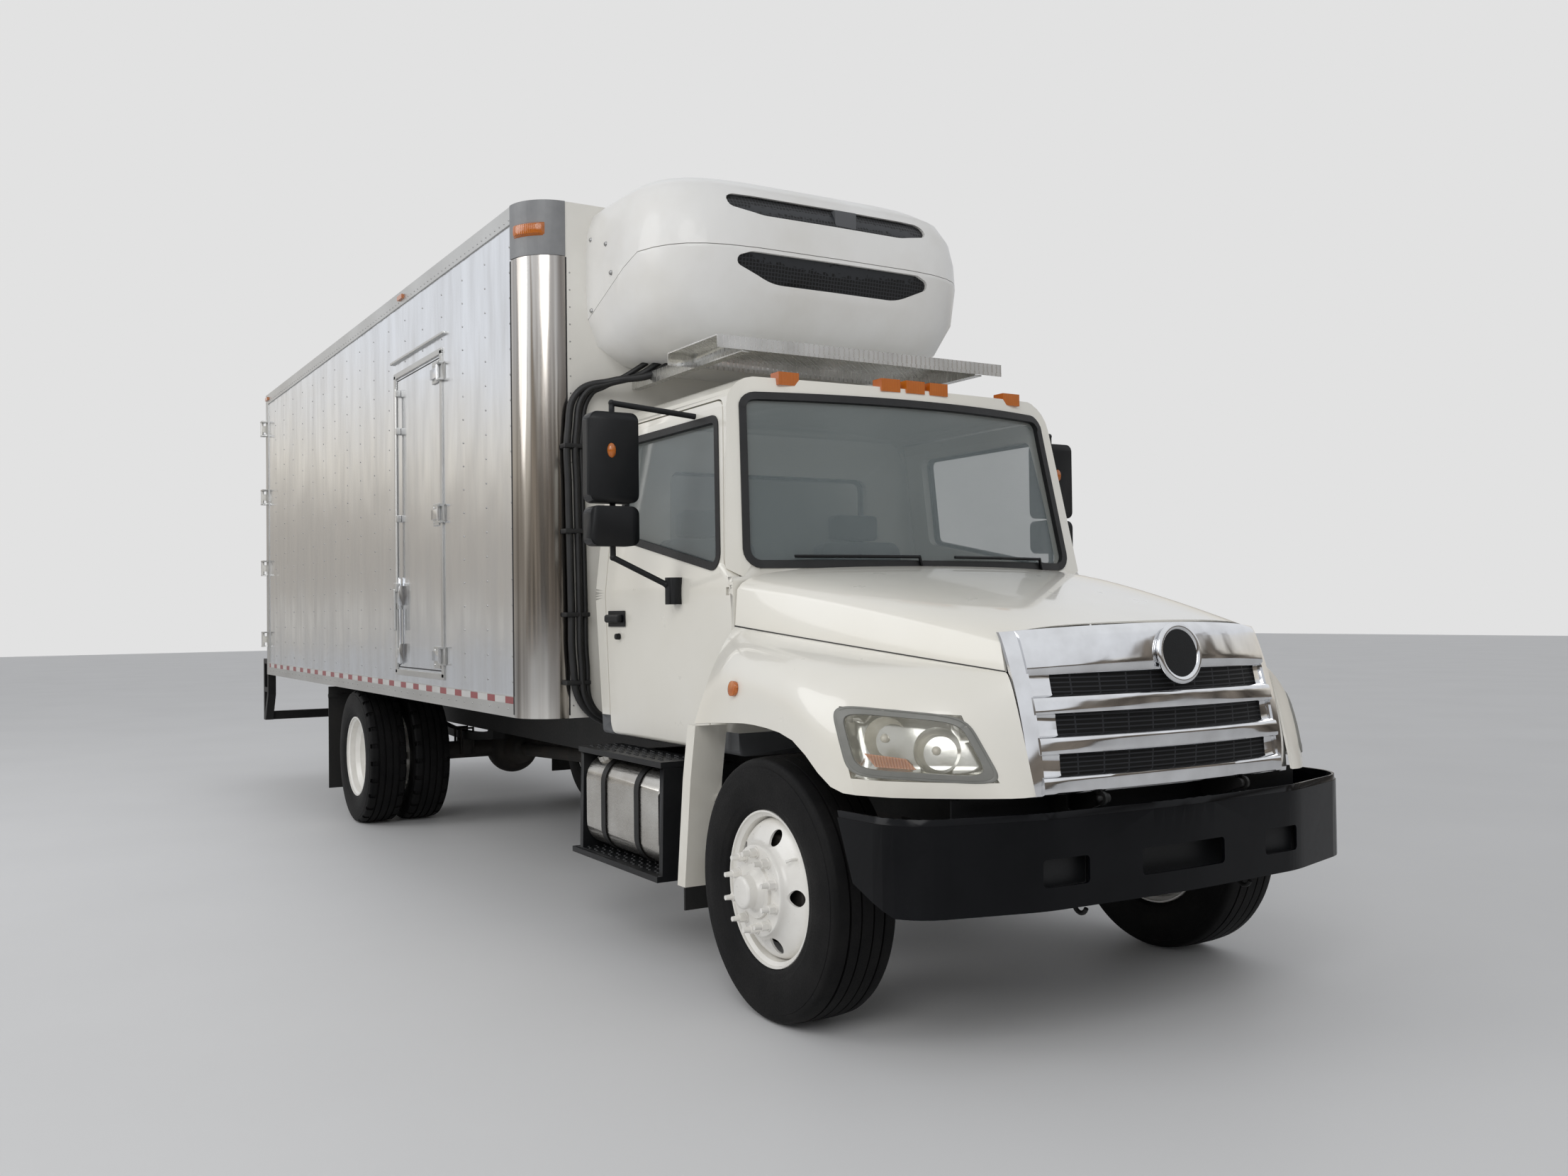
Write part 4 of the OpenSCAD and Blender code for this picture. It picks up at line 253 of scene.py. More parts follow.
# U-bolts clamp each spring to its axle: 22 mm bar, bent over the leaf pack.
front_axle_x, rear_axle_x, spring_y = 4.2, -1.77, 0.395
clamps = bmesh.new()
for axle_x, seat_z in ((front_axle_x, 0.47), (rear_axle_x, 0.60)):
    foot, top = seat_z - 0.13, seat_z + 0.07
    for y in (-spring_y, spring_y):
        for x in (axle_x - 0.075, axle_x + 0.075):
            tube(clamps, [(x, y - 0.048, foot), (x, y - 0.048, top), (x, y + 0.048, top), (x, y + 0.048, foot)],
                 0.011, smooth=False)
piece("spring_clamps", clamps, cast_iron, "chassis")


# ---- Tyres: 500 mm in radius and 280 mm wide, ribbed on the front axle and lugged on the driven one.
# Matt black rubber, scuffed to a browner shade in patches, with rings moulded into its walls.

rubber = Finish("tyre_rubber", specular_ior_level=0.16)
fine = rubber.noise(140.0, 3.0)
scuff = rubber.noise(9.0, 5.0)
rubber.coat((scuff - 0.35) * 2.0, "0a0a0b", "181717", 0.62 + (fine - 0.5) * 0.25, fine, 0.0007)
axle_z, tyre_half_w, tyre_steps = 0.5, 0.14, 96
tread_half = [(0.500, 0.000), (0.4998, 0.020), (0.489, 0.021), (0.489, 0.031), (0.4995, 0.032),
              (0.4985, 0.066), (0.487, 0.067), (0.487, 0.079), (0.4975, 0.080), (0.4945, 0.112),
              (0.488, 0.124), (0.478, 0.130), (0.462, 0.1315), (0.461, 0.1335), (0.446, 0.136),
              (0.444, 0.1355), (0.420, 0.139), (0.398, 0.140), (0.372, 0.1385), (0.345, 0.134),
              (0.341, 0.1335), (0.328, 0.1285), (0.318, 0.127), (0.306, 0.122), (0.299, 0.112),
              (0.3005, 0.100)]


def outward(bm):
    """Turn all faces outwards."""
    bmesh.ops.recalc_face_normals(bm, faces=bm.faces[:])


def spun(bm, points, middle, axis, steps, closed=False):
    """A line of points, spun a full turn about an axis."""
    line = [bm.verts.new(point) for point in points]
    ends = line[1:] + line[:1] if closed else line[1:]
    edges = [bm.edges.new(pair) for pair in zip(line, ends)]
    bmesh.ops.spin(bm, geom=line + edges, cent=middle, axis=axis, dvec=(0, 0, 0), angle=2 * math.pi, steps=steps,
                   use_merge=True)


def turned(bm, middle, side, section, steps, closed=False):
    """A section of [radius, reach] points, spun about an axle."""
    spun(bm, [middle + Vector((0, side * reach, r)) for r, reach in section], middle, (0, 1, 0), steps, closed)


def joined(bm, part):
    """Add a finished part to a piece, its faces turned outwards."""
    bmesh.ops.remove_doubles(part, verts=part.verts[:], dist=0.00001)
    outward(part)
    mesh = bpy.data.meshes.new("part")
    part.to_mesh(mesh)
    part.free()
    bm.from_mesh(mesh)
    bpy.data.meshes.remove(mesh)


def tyre(middle, lugs):
    """A tyre about the Y axis, its section drawn once and spun; a lugged one is notched at every fourth step."""
    ring = bmesh.new()
    inner = [(r, -reach) for r, reach in reversed(tread_half[1:])]
    turned(ring, middle, 1, inner + tread_half, tyre_steps, True)
    outward(ring)
    if lugs:
        cuts = []
        for face in ring.faces:
            spot = face.calc_center_median() - middle
            turn = int((math.atan2(spot.x, spot.z) / (2 * math.pi) + 1) * tyre_steps + 0.01)
            shoulder = 0.085 < abs(spot.y) < 0.13 and math.hypot(spot.x, spot.z) > 0.48
            if shoulder and turn % 4 == 0:
                cuts.append(face)
        bmesh.ops.inset_individual(ring, faces=cuts, thickness=0.002, depth=-0.009)
    return ring


# A ring lies flush with each end of the node's box: twin tyres behind, and in front two that all but coincide.
for node, lugs in (("tyre_front_right", False), ("tyre_front_left", False),
                   ("tyres_rear_right", True), ("tyres_rear_left", True)):
    low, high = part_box(node)
    bm = bmesh.new()
    for y in sorted({round(low.y + tyre_half_w, 4), round(high.y - tyre_half_w, 4)}):
        joined(bm, tyre(Vector(((low.x + high.x) / 2, y, axle_z)), lugs))
    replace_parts(piece(node + "_rubber", bm, rubber, body_of[node], 40.0), node)


# ---- Wheels: steel discs and rims of 22.5 inches, ten studs on a 285.75 mm circle, five hand holes.
# Sprayed white over studs, nuts and hub, and gone a little grey in patches.

wheel_white = worn("wheel_white", "f3f1ec", "e2dfd8", 0.3, patch=6.0, grain=60.0, depth=0.0003,
                   coat_weight=0.3)


def lathe_shading(mesh, middle):
    """Shade a turned piece from its own section, so that holes through it leave no creases."""
    sections = []
    for face in mesh.polygons:
        out = Vector((face.center.x - middle.x, 0, face.center.z - middle.z)).normalized()
        around = face.normal.dot(out.cross(Vector((0, 1, 0))))
        sections.append((face.normal.dot(out), face.normal.y) if abs(around) < 0.12 else None)
    meets = {}
    for face, section in zip(mesh.polygons, sections):
        for corner in face.vertices:
            meets.setdefault(corner, []).append(section)
    normals = []
    for face, section in zip(mesh.polygons, sections):
        for corner in face.vertices:
            if section is None:
                normals.append(face.normal)
                continue
            near = [m for m in meets[corner] if m and m[0] * section[0] + m[1] * section[1] > 0.85]
            p = mesh.vertices[corner].co
            out = Vector((p.x - middle.x, 0, p.z - middle.z)).normalized() * sum(m[0] for m in near)
            normals.append((out + Vector((0, sum(m[1] for m in near), 0))).normalized())
    mesh.normals_split_custom_set(normals)


def aimed(spot, direction):
    """The matrix that stands a shape's Z axis along a direction at a spot."""
    return Matrix.Translation(spot) @ Vector(direction).to_track_quat("Z", "Y").to_matrix().to_4x4()


def cone(bm, spot, direction, r, top_r, height, sides):
    """A stub of so many sides, its middle at a spot, standing along a direction."""
    bmesh.ops.create_cone(bm, cap_ends=True, segments=sides, radius1=r, radius2=top_r, depth=height,
                          matrix=aimed(spot, direction))


def pulled(bm, faces, keep=False):
    """Extrude faces, and hand back the corners of the new ones."""
    made = bmesh.ops.extrude_face_region(bm, geom=faces, use_keep_orig=keep)["geom"]
    return [v for v in made if isinstance(v, bmesh.types.BMVert)]


# A front wheel is a rolled rim, a pressed disc 10 mm thick, dished outwards to its studs, and a capped hub.
rim_half = [(0.239, 0.0), (0.239, 0.0295), (0.2687, 0.059), (0.2727, 0.098), (0.287, 0.109), (0.287, 0.113),
            (0.289, 0.117), (0.2925, 0.118), (0.296, 0.117), (0.298, 0.113), (0.298, 0.109), (0.2837, 0.098),
            (0.2797, 0.059), (0.250, 0.0295), (0.250, 0.0)]
dish = [(0.100, 0.165), (0.166, 0.165), (0.1705, 0.1635), (0.1735, 0.159), (0.1755, 0.152), (0.178, 0.145),
        (0.182, 0.138), (0.188, 0.1315), (0.196, 0.126), (0.206, 0.1205), (0.217, 0.115), (0.228, 0.1095),
        (0.239, 0.103), (0.249, 0.095), (0.258, 0.084), (0.265, 0.070), (0.268, 0.058)]
hub_line = [(0.104, 0.150), (0.104, 0.172), (0.1015, 0.176), (0.079, 0.1765), (0.0765, 0.179), (0.064, 0.195),
            (0.062, 0.200), (0.062, 0.226), (0.0605, 0.231), (0.056, 0.2355), (0.046, 0.2385), (0.0, 0.239)]
hole_r, hole_circle_r, hole_step = 0.031, 0.212, 72
disc_thick, wheel_y, stud_circle_r, valve_circle_r = 0.010, 1.017, 0.142875, 0.236
drum_line = [(0.110, 0.088), (0.198, 0.088), (0.205, 0.081), (0.205, 0.008), (0.236, 0.004), (0.236, -0.008),
             (0.110, -0.008)]


def dish_reach(r):
    """How far out the disc stands at a radius."""
    for (r0, y0), (r1, y1) in zip(dish, dish[1:]):
        if r <= r1:
            return y0 + (y1 - y0) * (r - r0) / (r1 - r0)
    return dish[-1][1]


def spread(spot, middle):
    """The distance of a spot from a line along the axle."""
    return math.hypot(spot.x - middle.x, spot.z - middle.z)


def spoke(degrees):
    """The way out from the axle at an angle."""
    return Vector((math.cos(math.radians(degrees)), 0, math.sin(math.radians(degrees))))


def front_wheel(middle, side):
    """The white wheel, with five round hand holes through its disc."""
    bm, rim, sheet, hub = (bmesh.new() for _ in range(4))
    back = [(r, -reach) for r, reach in reversed(rim_half[1:-1])]
    turned(rim, middle, side, rim_half + back, 96, True)
    joined(bm, rim)
    radii = [0.100, 0.130, 0.166, 0.1705, 0.1735, 0.1755, 0.178] + [0.182 + 0.004 * k for k in range(22)]
    turned(sheet, middle, side, [(r, dish_reach(r)) for r in radii], 180)
    for k in range(5):
        hole = middle + spoke(hole_step * k) * hole_circle_r
        gone = [f for f in sheet.faces if spread(f.calc_center_median(), hole) < hole_r]
        bmesh.ops.delete(sheet, geom=gone, context="FACES")
        for v in sheet.verts:
            if v.is_boundary and spread(v.co, hole) < hole_r * 1.5:
                share = hole_r / spread(v.co, hole)
                v.co.x = hole.x + (v.co.x - hole.x) * share
                v.co.z = hole.z + (v.co.z - hole.z) * share
                v.co.y = middle.y + side * dish_reach(spread(v.co, middle))
    inside = pulled(sheet, sheet.faces[:], keep=True)
    bmesh.ops.translate(sheet, verts=inside, vec=(0, -side * disc_thick, 0))
    joined(bm, sheet)
    turned(hub, middle, side, hub_line, 48)
    joined(bm, hub)
    return bm


for node in ("wheel_front_right", "wheel_front_left", "wheels_rear_right", "wheels_rear_left"):
    low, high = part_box(node)
    x = (low.x + high.x) / 2
    side = 1 if low.y > 0 else -1
    out = Vector((0, side, 0))
    if "front" in node:
        middle = Vector((x, side * wheel_y, axle_z))
        shape = front_wheel(middle, side)
        disc = BVHTree.FromBMesh(shape)
        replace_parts(piece(node + "_skin", shape, wheel_white, body_of[node], 35.0), node)
        # A cast brake drum with its dust plate stands behind the disc and shows dark through the hand holes.
        drum = bmesh.new()
        turned(drum, middle, side, drum_line, 64, True)
        outward(drum)
        piece(node + "_drum", drum, cast_iron, body_of[node], 40.0)
    else:
        lathe_shading(dress(node, wheel_white, 28.0).data, Vector((x, 0, axle_z)))
        shape = merged(node)
        disc = BVHTree.FromBMesh(shape)
        shape.free()
    bm = bmesh.new()
    far = Vector((x, side * 1.5, axle_z))
    for k in range(10):
        base = disc.ray_cast(far + spoke(36 * k + 18) * stud_circle_r, -out, 1.2)[0]
        cone(bm, base, out, 0.024, 0.022, 0.010, 20)
        cone(bm, base + out * 0.017, out, 0.0185, 0.0175, 0.028, 6)
        cone(bm, base + out * 0.044, out, 0.0115, 0.0095, 0.034, 14)
    valve = spoke(36)
    foot = disc.ray_cast(far + valve * valve_circle_r, -out, 1.2)[0]
    tube(bm, [foot - out * 0.01, foot + out * 0.02, foot + out * 0.04 - valve * 0.012], 0.0055)
    piece(node + "_nuts", bm, wheel_white, body_of[node], 40.0)


# ---- Engine, exhaust and tanks under the cab: a cast block, heat-stained steel pipe, a black battery box.
# The fuel tank is brushed aluminium with rounded long edges, held by two bands of painted steel.

exhaust_steel = worn("exhaust_steel", "6d655c", "8b8075", 0.5, patch=7.0, grain=50.0, metallic=0.85)
dress("engine", cast_iron)
dress("exhaust", exhaust_steel)
brushed = Finish("brushed_aluminium", metallic=1.0)
lines = brushed.noise(30.0, 4.0, (0.6, 14.0, 14.0))
stain = brushed.noise(4.0, 4.0)
brushed.coat((stain - 0.3) * 2.0, "cfcdc8", "a8a39c", 0.3 + (lines - 0.5) * 0.3, lines, 0.0004)
dress("fuel_tank", brushed, 28.0)
black_plastic = worn("black_plastic", "0d0e10", "17181a", 0.46, patch=6.0, grain=220.0, depth=0.0004,
                     specular_ior_level=0.3)
dress("battery_box", black_plastic)
dress("mudflaps", worn("flap_rubber", "131313", "24221f", 0.7, patch=4.0, grain=60.0, depth=0.001))


def rounded(bm, edges, r, steps=2):
    """Round edges off."""
    bmesh.ops.bevel(bm, geom=list(edges), offset=r, segments=steps, profile=0.5, affect="EDGES", material=-1)


def block(bm, corner, opposite, round_r=0.0, steps=2):
    """A box between two opposite corners, its edges rounded."""
    pairs = list(zip(corner, opposite))
    low, high = Vector([min(pair) for pair in pairs]), Vector([max(pair) for pair in pairs])
    made = bmesh.ops.create_cube(bm, size=1.0, matrix=Matrix.Translation((low + high) / 2)
                                 @ Matrix.Diagonal((*(high - low), 1.0)))
    if round_r:
        rounded(bm, {e for v in made["verts"] for e in v.link_edges}, round_r, steps)


def heads(bm, spots, direction, r, h, sides=8):
    """Low fastener heads at the spots, standing out along a direction."""
    for spot in spots:
        cone(bm, spot, direction, r, r * 0.55, 2 * h, sides)


bands = bmesh.new()
for x in (2.69, 3.06):
    band = bmesh.new()
    block(band, (x - 0.024, -1.1455, 0.4215), (x + 0.024, -0.68, 0.8655))
    rounded(band, [e for e in band.edges if abs((e.verts[0].co - e.verts[1].co).x) > 0.01], 0.1185, 10)
    ends = [f for f in band.faces if abs(f.normal.x) > 0.9]
    bmesh.ops.delete(band, geom=ends, context="FACES")
    bmesh.ops.solidify(band, geom=band.faces[:], thickness=-0.004)
    joined(bands, band)
piece("tank_bands", bands, chassis_black, "chassis")
cap, cap_lean = bmesh.new(), (0, -0.5, 0.87)
cone(cap, (2.56, -1.06, 0.858), cap_lean, 0.052, 0.047, 0.05, 32)
rounded(cap, cap.edges, 0.006)
for k in range(12):
    turn = math.radians(30 * k)
    grip = aimed((2.56, -1.06, 0.868), cap_lean) @ Vector((0.05 * math.cos(turn), 0.05 * math.sin(turn), 0))
    cone(cap, grip, cap_lean, 0.006, 0.004, 0.026, 8)
piece("tank_cap", cap, brushed, "chassis")

# Steps of pressed grip plating on brackets, with rows of raised studs that bite into a boot.
dress("cab_steps", black_plastic)
grips, pitch = bmesh.new(), 0.042
for side in (-1, 1):
    for x0, x1, y0, y1, z in ((2.43, 3.31, 0.955, 1.14, 0.902), (2.43, 3.28, 0.975, 1.165, 0.408)):
        for i in range(int((x1 - x0) / pitch)):
            for j in range(int((y1 - y0) / pitch)):
                y = y0 + pitch * (j + 0.5) + 0.01 * (i % 2)
                heads(grips, [(x0 + pitch * (i + 0.5), side * y, z)], (0, 0, 1), 0.0135, 0.005)
piece("step_grips", grips, black_plastic, "chassis", 50.0)


# ---- Cab: welded steel shell, one metre either side of the middle, sprayed warm white and lacquered.
# Its panels carry a faint ripple from the spray gun and road film low down.

cab_paint = Finish("cab_paint", coat_weight=0.7, coat_roughness=0.06, specular_ior_level=0.5)
ripple = cab_paint.noise(14.0, 2.0)
drift = cab_paint.noise(1.3, 4.0)
film = cab_paint.noise(7.0, 5.0)
low_down = ((1.3 - cab_paint.axis("Z")) * 1.1).at_least(0.0)
cab_paint.set(base_color=cab_paint.mix(low_down * (film - 0.25) * 0.5,
                                       cab_paint.tint((drift - 0.3) * 2.0, "efece3", "e8e4d8"),
                                       ink("b9ae9c")),
              roughness=0.3 + (film - 0.5) * 0.14, normal=cab_paint.bump(ripple, 0.0002))
for node in ("cab_front", "cab_back", "cab_roof", "mudguards"):
    dress(node, cab_paint, 30.0)
grey_trim = worn("grey_trim", "56585a", "636467", 0.62, patch=5.0, grain=160.0, depth=0.0006)
dress("cab_floor", grey_trim)
dark_trim = worn("dark_trim", "2c2e30", "3a3b3d", 0.6, patch=5.0, grain=200.0, depth=0.0006)
dress("dashboard", dark_trim)
dress("steering_wheel", dark_trim, 40.0)

# Laminated glass, tinted green-grey, with a film of dust; set in black rubber channel round its edge.
glass = Finish("tinted_glass", ior=1.5, coat_weight=0.5, coat_roughness=0.02)
haze = glass.noise(1.6, 5.0)
glass.set(base_color=glass.tint(haze, "7b8789", "919c9d"), roughness=0.04 + haze * 0.04,
          alpha=0.3 + (haze - 0.5) * 0.1)
for node in ("cab_glass", "door_glass_right", "door_glass_left"):
    dress(node, glass, 40.0)
channel_rubber = worn("channel_rubber", "0d0d0e", "1b1b1c", 0.55, patch=9.0, grain=80.0, depth=0.0003)
channel_w, channel_overlap, channel_lip, channel_most = 0.034, 0.018, 0.006, 0.04
hands = (("right", -1), ("left", 1))


def channel(name, pane, panel, keep, body):
    """The rubber round a pane: 34 mm wide, from the glass up to a lip over the panel's edge."""
    panel_mesh = merged(panel)
    skin = BVHTree.FromBMesh(panel_mesh)
    panel_mesh.free()
    bm = merged(pane)
    spare = [f for f in bm.faces if not keep(f.calc_center_median(), f.normal)]
    bmesh.ops.delete(bm, geom=spare, context="FACES")
    near_glass = bm.verts.layers.float.new("near_glass")
    rise = bm.verts.layers.float_vector.new("rise")
    ring = set(bmesh.ops.inset_region(bm, faces=bm.faces[:], thickness=channel_w, use_boundary=True,
                                      use_even_offset=True)["faces"])
    core = [f for f in bm.faces if f not in ring]
    for face in core:
        for v in face.verts:
            v[near_glass] = 1.0
    bmesh.ops.delete(bm, geom=core, context="FACES")
    along = [e for e in bm.edges if e.is_boundary and e.calc_length() > 0.05]
    bmesh.ops.subdivide_edges(bm, edges=along, cuts=5, use_grid_fill=True)
    bm.normal_update()
    moves, far = {}, 0.2
    for edge in bm.edges:
        a, b = edge.verts
        if (a[near_glass] > 0.5) != (b[near_glass] > 0.5):
            rim, heart = (b, a) if a[near_glass] > 0.5 else (a, b)
            way = (rim.co - heart.co).normalized() * channel_overlap
            out = rim.normal.copy()
            lifts = [0.0]
            for share in (-0.5, 0.2, 1.0):
                hit = skin.ray_cast(rim.co + way * share + out * far, -out, 0.3)
                lifts.append(far - hit[3] if hit[0] else 0.0)
            moves[rim] = moves[heart] = (way, out * (min(max(lifts), channel_most) + channel_lip))
    for v, (way, up) in moves.items():
        v.co += way
        v[rise] = up
    for v in pulled(bm, bm.faces[:]):
        v.co += v[rise]
    outward(bm)
    return piece(name, bm, channel_rubber, body, 50.0)


channel("screen_channel", "cab_glass", "cab_front", lambda c, n: c.x > 3 and n.x > 0.5, "chassis")
channel("rear_window_channel", "cab_glass", "cab_back", lambda c, n: c.x < 2.6 and n.x < -0.5, "chassis")
for hand, side in hands:
    channel("window_channel_" + hand, "door_glass_" + hand, "door_" + hand, lambda c, n: n.y * side > 0.5,
            "door_%s_body" % hand)

# Doors with a black pull handle on a flat plate, a lock below it, and mirrors on bent steel arms.
for hand, side in hands:
    dress("door_" + hand, cab_paint, 30.0)
    dress("mirrors_" + hand, black_plastic, 40.0)
    handle, skin_y = bmesh.new(), side * 1.01
    block(handle, (2.475, skin_y, 1.508), (2.640, skin_y + side * 0.034, 1.548), 0.012, 3)
    block(handle, (2.462, skin_y, 1.488), (2.655, skin_y + side * 0.004, 1.566), 0.0015)
    cone(handle, (2.575, skin_y + side * 0.006, 1.44), (0, side, 0), 0.016, 0.014, 0.02, 16)
    piece("door_handle_" + hand, handle, black_plastic, "door_%s_body" % hand)

# Each mirror head carries silvered glass on its rear face.
mirror_glass = worn("mirror_glass", "c9cdd0", "b5b9bc", 0.06, patch=4.0, grain=20.0, depth=0.00002,
                    metallic=1.0)
for hand, side in hands:
    panes = bmesh.new()
    for foot, top in ((1.868, 2.008), (2.062, 2.418)):
        block(panes, (3.1065, side * 1.20, foot), (3.1095, side * 1.392, top), 0.001)
    piece("mirror_glass_" + hand, panes, mirror_glass, "door_%s_body" % hand)


# ---- Seats: moulded foam under woven grey cloth, on steel pedestals bolted to the floor.
# Cushion, back and head rest are each one padded block, crowned in the middle and rounded at the edges.

cloth = Finish("seat_cloth", sheen_weight=0.3)
weave = cloth.bands("Y", 120.0, distortion=1.5)
wear = cloth.noise(5.0, 4.0)
cloth.coat((wear - 0.3) * 2.0, "4b4d50", "5f6062", 0.88 + (weave - 0.5) * 0.1, weave, 0.0008)


def cushion(corner, opposite, crown, axis):
    """A stuffed block between two corners, swollen along one axis towards its middle."""
    bm = bmesh.new()
    bmesh.ops.create_cube(bm, size=2.0)
    rounded(bm, bm.edges, 0.28, 3)
    bmesh.ops.subdivide_edges(bm, edges=[e for e in bm.edges if e.calc_length() > 0.6], cuts=5,
                              use_grid_fill=True)
    for v in bm.verts:
        share = v.co.copy()
        swell = math.prod(1 - share[i] ** 2 for i in range(3) if i != axis)
        share[axis] *= 1 + crown * swell
        v.co = [(a + b) / 2 + abs(a - b) / 2 * s for a, b, s in zip(corner, opposite, share)]
    return bm


for hand, side in hands:
    for part, low, high, crown, axis in (
            ("base", (2.56, 0.21, 1.33), (3.02, 0.73, 1.46), 0.2, 2),
            ("back", (2.41, 0.21, 1.42), (2.56, 0.73, 1.93), 0.25, 0),
            ("head", (2.40, 0.33, 1.94), (2.50, 0.61, 2.08), 0.25, 0)):
        shape = cushion((low[0], side * low[1], low[2]), (high[0], side * high[1], high[2]), crown, axis)
        made = piece("seat_%s_%s" % (part, hand), shape, cloth, "chassis", 80.0, False)
    stand, seat_y = bmesh.new(), side * 0.47
    block(stand, (2.62, seat_y - 0.19, 1.05), (2.96, seat_y + 0.19, 1.34), 0.02)
    block(stand, (2.44, seat_y - 0.02, 1.9), (2.46, seat_y + 0.02, 1.97), 0.004)
    stand_piece = piece("seat_stand_" + hand, stand, dark_trim, "chassis")
    if side > 0:
        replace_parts(stand_piece, "seats")


# ---- Roof lamps, corner lamps and wipers: moulded amber lenses, and black arms with rubber blades.
# The lenses are ribbed inside, which shows as fine bars; the two at the tail are red.


def lens(name, colour, second):
    """A clear coloured moulding with ribs inside it."""
    finish = Finish(name, coat_weight=0.6, coat_roughness=0.05, transmission_weight=0.25)
    bars = finish.bands("Y", 45.0)
    fade = finish.noise(14.0, 3.0)
    return finish.coat(bars * 0.6 + fade * 0.3, colour, second, 0.16 + (fade - 0.5) * 0.1, bars, 0.0006)


amber = lens("amber_lens", "c8610c", "e8892a")
red = lens("red_lens", "8d0f0d", "b32a22")
bm = merged("marker_lamps")
corner = [f for f in bm.faces if 1.7 < f.calc_center_median().x < 2.3 and f.calc_center_median().z < 3.64]
bmesh.ops.delete(bm, geom=corner, context="FACES")
bmesh.ops.dissolve_limit(bm, angle_limit=0.02, verts=bm.verts[:], edges=bm.edges[:])
ridges = [e for e in bm.edges if len(e.link_faces) == 2 and e.calc_face_angle() > 0.6]
bmesh.ops.bevel(bm, geom=ridges, offset=0.007, segments=2, profile=0.5, affect="EDGES", material=-1,
                clamp_overlap=True)
for face in bm.faces:
    face.material_index = 1 if face.calc_center_median().x < -4.93 else 0
# The lamps on the box's front corners are bent to the corner: 190 mm round it and 74 mm tall.
corner_x, corner_y = 1.89, 1.08
for side in (-1, 1):
    sheet = bmesh.ops.create_grid(bm, x_segments=14, y_segments=6, size=1.0)["verts"]
    faces = list({f for v in sheet for f in v.link_faces})
    for v in sheet:
        turn = math.radians(38 + 25 * v.co.x)
        r = 0.217 + 0.026 * math.sqrt(max(0.0, (1 - v.co.x ** 6) * (1 - v.co.y ** 4)))
        v.co = (corner_x + r * math.sin(turn), side * (corner_y + r * math.cos(turn)), 3.548 + 0.037 * v.co.y)
    for v in pulled(bm, faces):
        out = Vector((v.co.x - corner_x, v.co.y - side * corner_y, 0))
        v.co -= out.normalized() * (out.length - 0.212)
outward(bm)
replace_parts(piece("marker_lamps_skin", bm, [amber, red], "chassis"), "marker_lamps")
dress("wipers", black_plastic)

# An oval amber repeater, 66 mm tall, is set in the front of each large mirror head.
for hand, side in hands:
    repeater = bmesh.new()
    oval = Matrix.Translation((3.190, side * 1.31, 2.27)) @ Matrix.Diagonal((0.016, 0.021, 0.033, 1))
    bmesh.ops.create_uvsphere(repeater, u_segments=28, v_segments=14, radius=1.0, matrix=oval)
    bmesh.ops.bisect_plane(repeater, geom=repeater.verts[:] + repeater.edges[:] + repeater.faces[:],
                           plane_co=(3.186, 0, 0), plane_no=(1, 0, 0), clear_inner=True)
    piece("mirror_repeater_" + hand, repeater, amber, "door_%s_body" % hand, 70.0)


# ---- Hood and fenders: one tilting moulding in the cab's paint, with a shut line between crown and fenders.
# It carries the grille, its screen and the lamps when it tips forward about the lugs below the grille.

dress("hood", cab_paint, 35.0)
dress("fenders", cab_paint, 35.0)
shut_line = worn("shut_line_rubber", "171717", "262524", 0.6, patch=9.0, grain=80.0)
for hand, side in hands:
    seam = bmesh.new()
    tube(seam, [(front_axle_x - 0.462 + 1.288 * u, side * (1.004 - 0.349 * u ** 1.1), 1.494 - 0.161 * u)
                for u in [k / 12 for k in range(13)]], 0.0032, sides=2)
    piece("hood_seam_" + hand, seam, shut_line, "hood_body", 60.0)

# The grille is chromed plastic: a band over three bars; behind its slots is a black screen of fine bars, with
# painted shade in the openings between them.
chrome = Finish("chrome", metallic=1.0)
pits = chrome.noise(9.0, 4.0)
wave = chrome.noise(6.0, 2.0)
chrome.coat((pits - 0.3) * 2.0, "e6e7e9", "cfcfd0", 0.05 + pits * 0.05, wave, 0.0005)


def grille_at(s, v, proud):
    """A point of the grille's face: s from its lower edge up, v from the right end (-1) to the left (1)."""
    lean = s * (1 + (s - 1) * 0.6)
    return Vector((5.145 - 0.151 * lean + (0.042 + 0.136 * s) * (1 - v * v) + proud, 0.655 * v,
                   0.912 + 0.558 * s + 0.026 * s * s * (1 - v * v)))


def grille_strip(bm, low, high, first, last, bulge, across, tall):
    """A bar of the grille between two heights and two places across, rounded over in its height."""
    made = bmesh.ops.create_grid(bm, x_segments=across, y_segments=tall, size=1.0)["verts"]
    faces = list({f for v in made for f in v.link_faces})
    for v in made:
        up, along = v.co.y, (v.co.x + 1) / 2
        v.co = grille_at(low + (high - low) * (up + 1) / 2, first + (last - first) * along,
                         bulge * math.sqrt(max(0.0, 1 - up ** 6)))
    for v in pulled(bm, faces):
        v.co.x -= 0.013


bars = bmesh.new()
for low, high, bulge in ((0.0, 0.118, 0.016), (0.24, 0.36, 0.018), (0.482, 0.602, 0.018), (0.724, 1.0, 0.018)):
    grille_strip(bars, low, high, -0.925, 0.925, bulge, 44, 10)
for low, high in ((0.11, 0.25), (0.35, 0.49), (0.59, 0.73)):
    for first, last in ((-0.92, -0.80), (0.80, 0.92)):
        grille_strip(bars, low, high, first, last, -0.004, 6, 6)
for first, last in ((-1.0, -0.915), (0.915, 1.0)):
    grille_strip(bars, 0.0, 1.0, first, last, 0.008, 6, 30)
outward(bars)
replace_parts(piece("grille_bars", bars, chrome, "hood_body", 50.0), "grille")

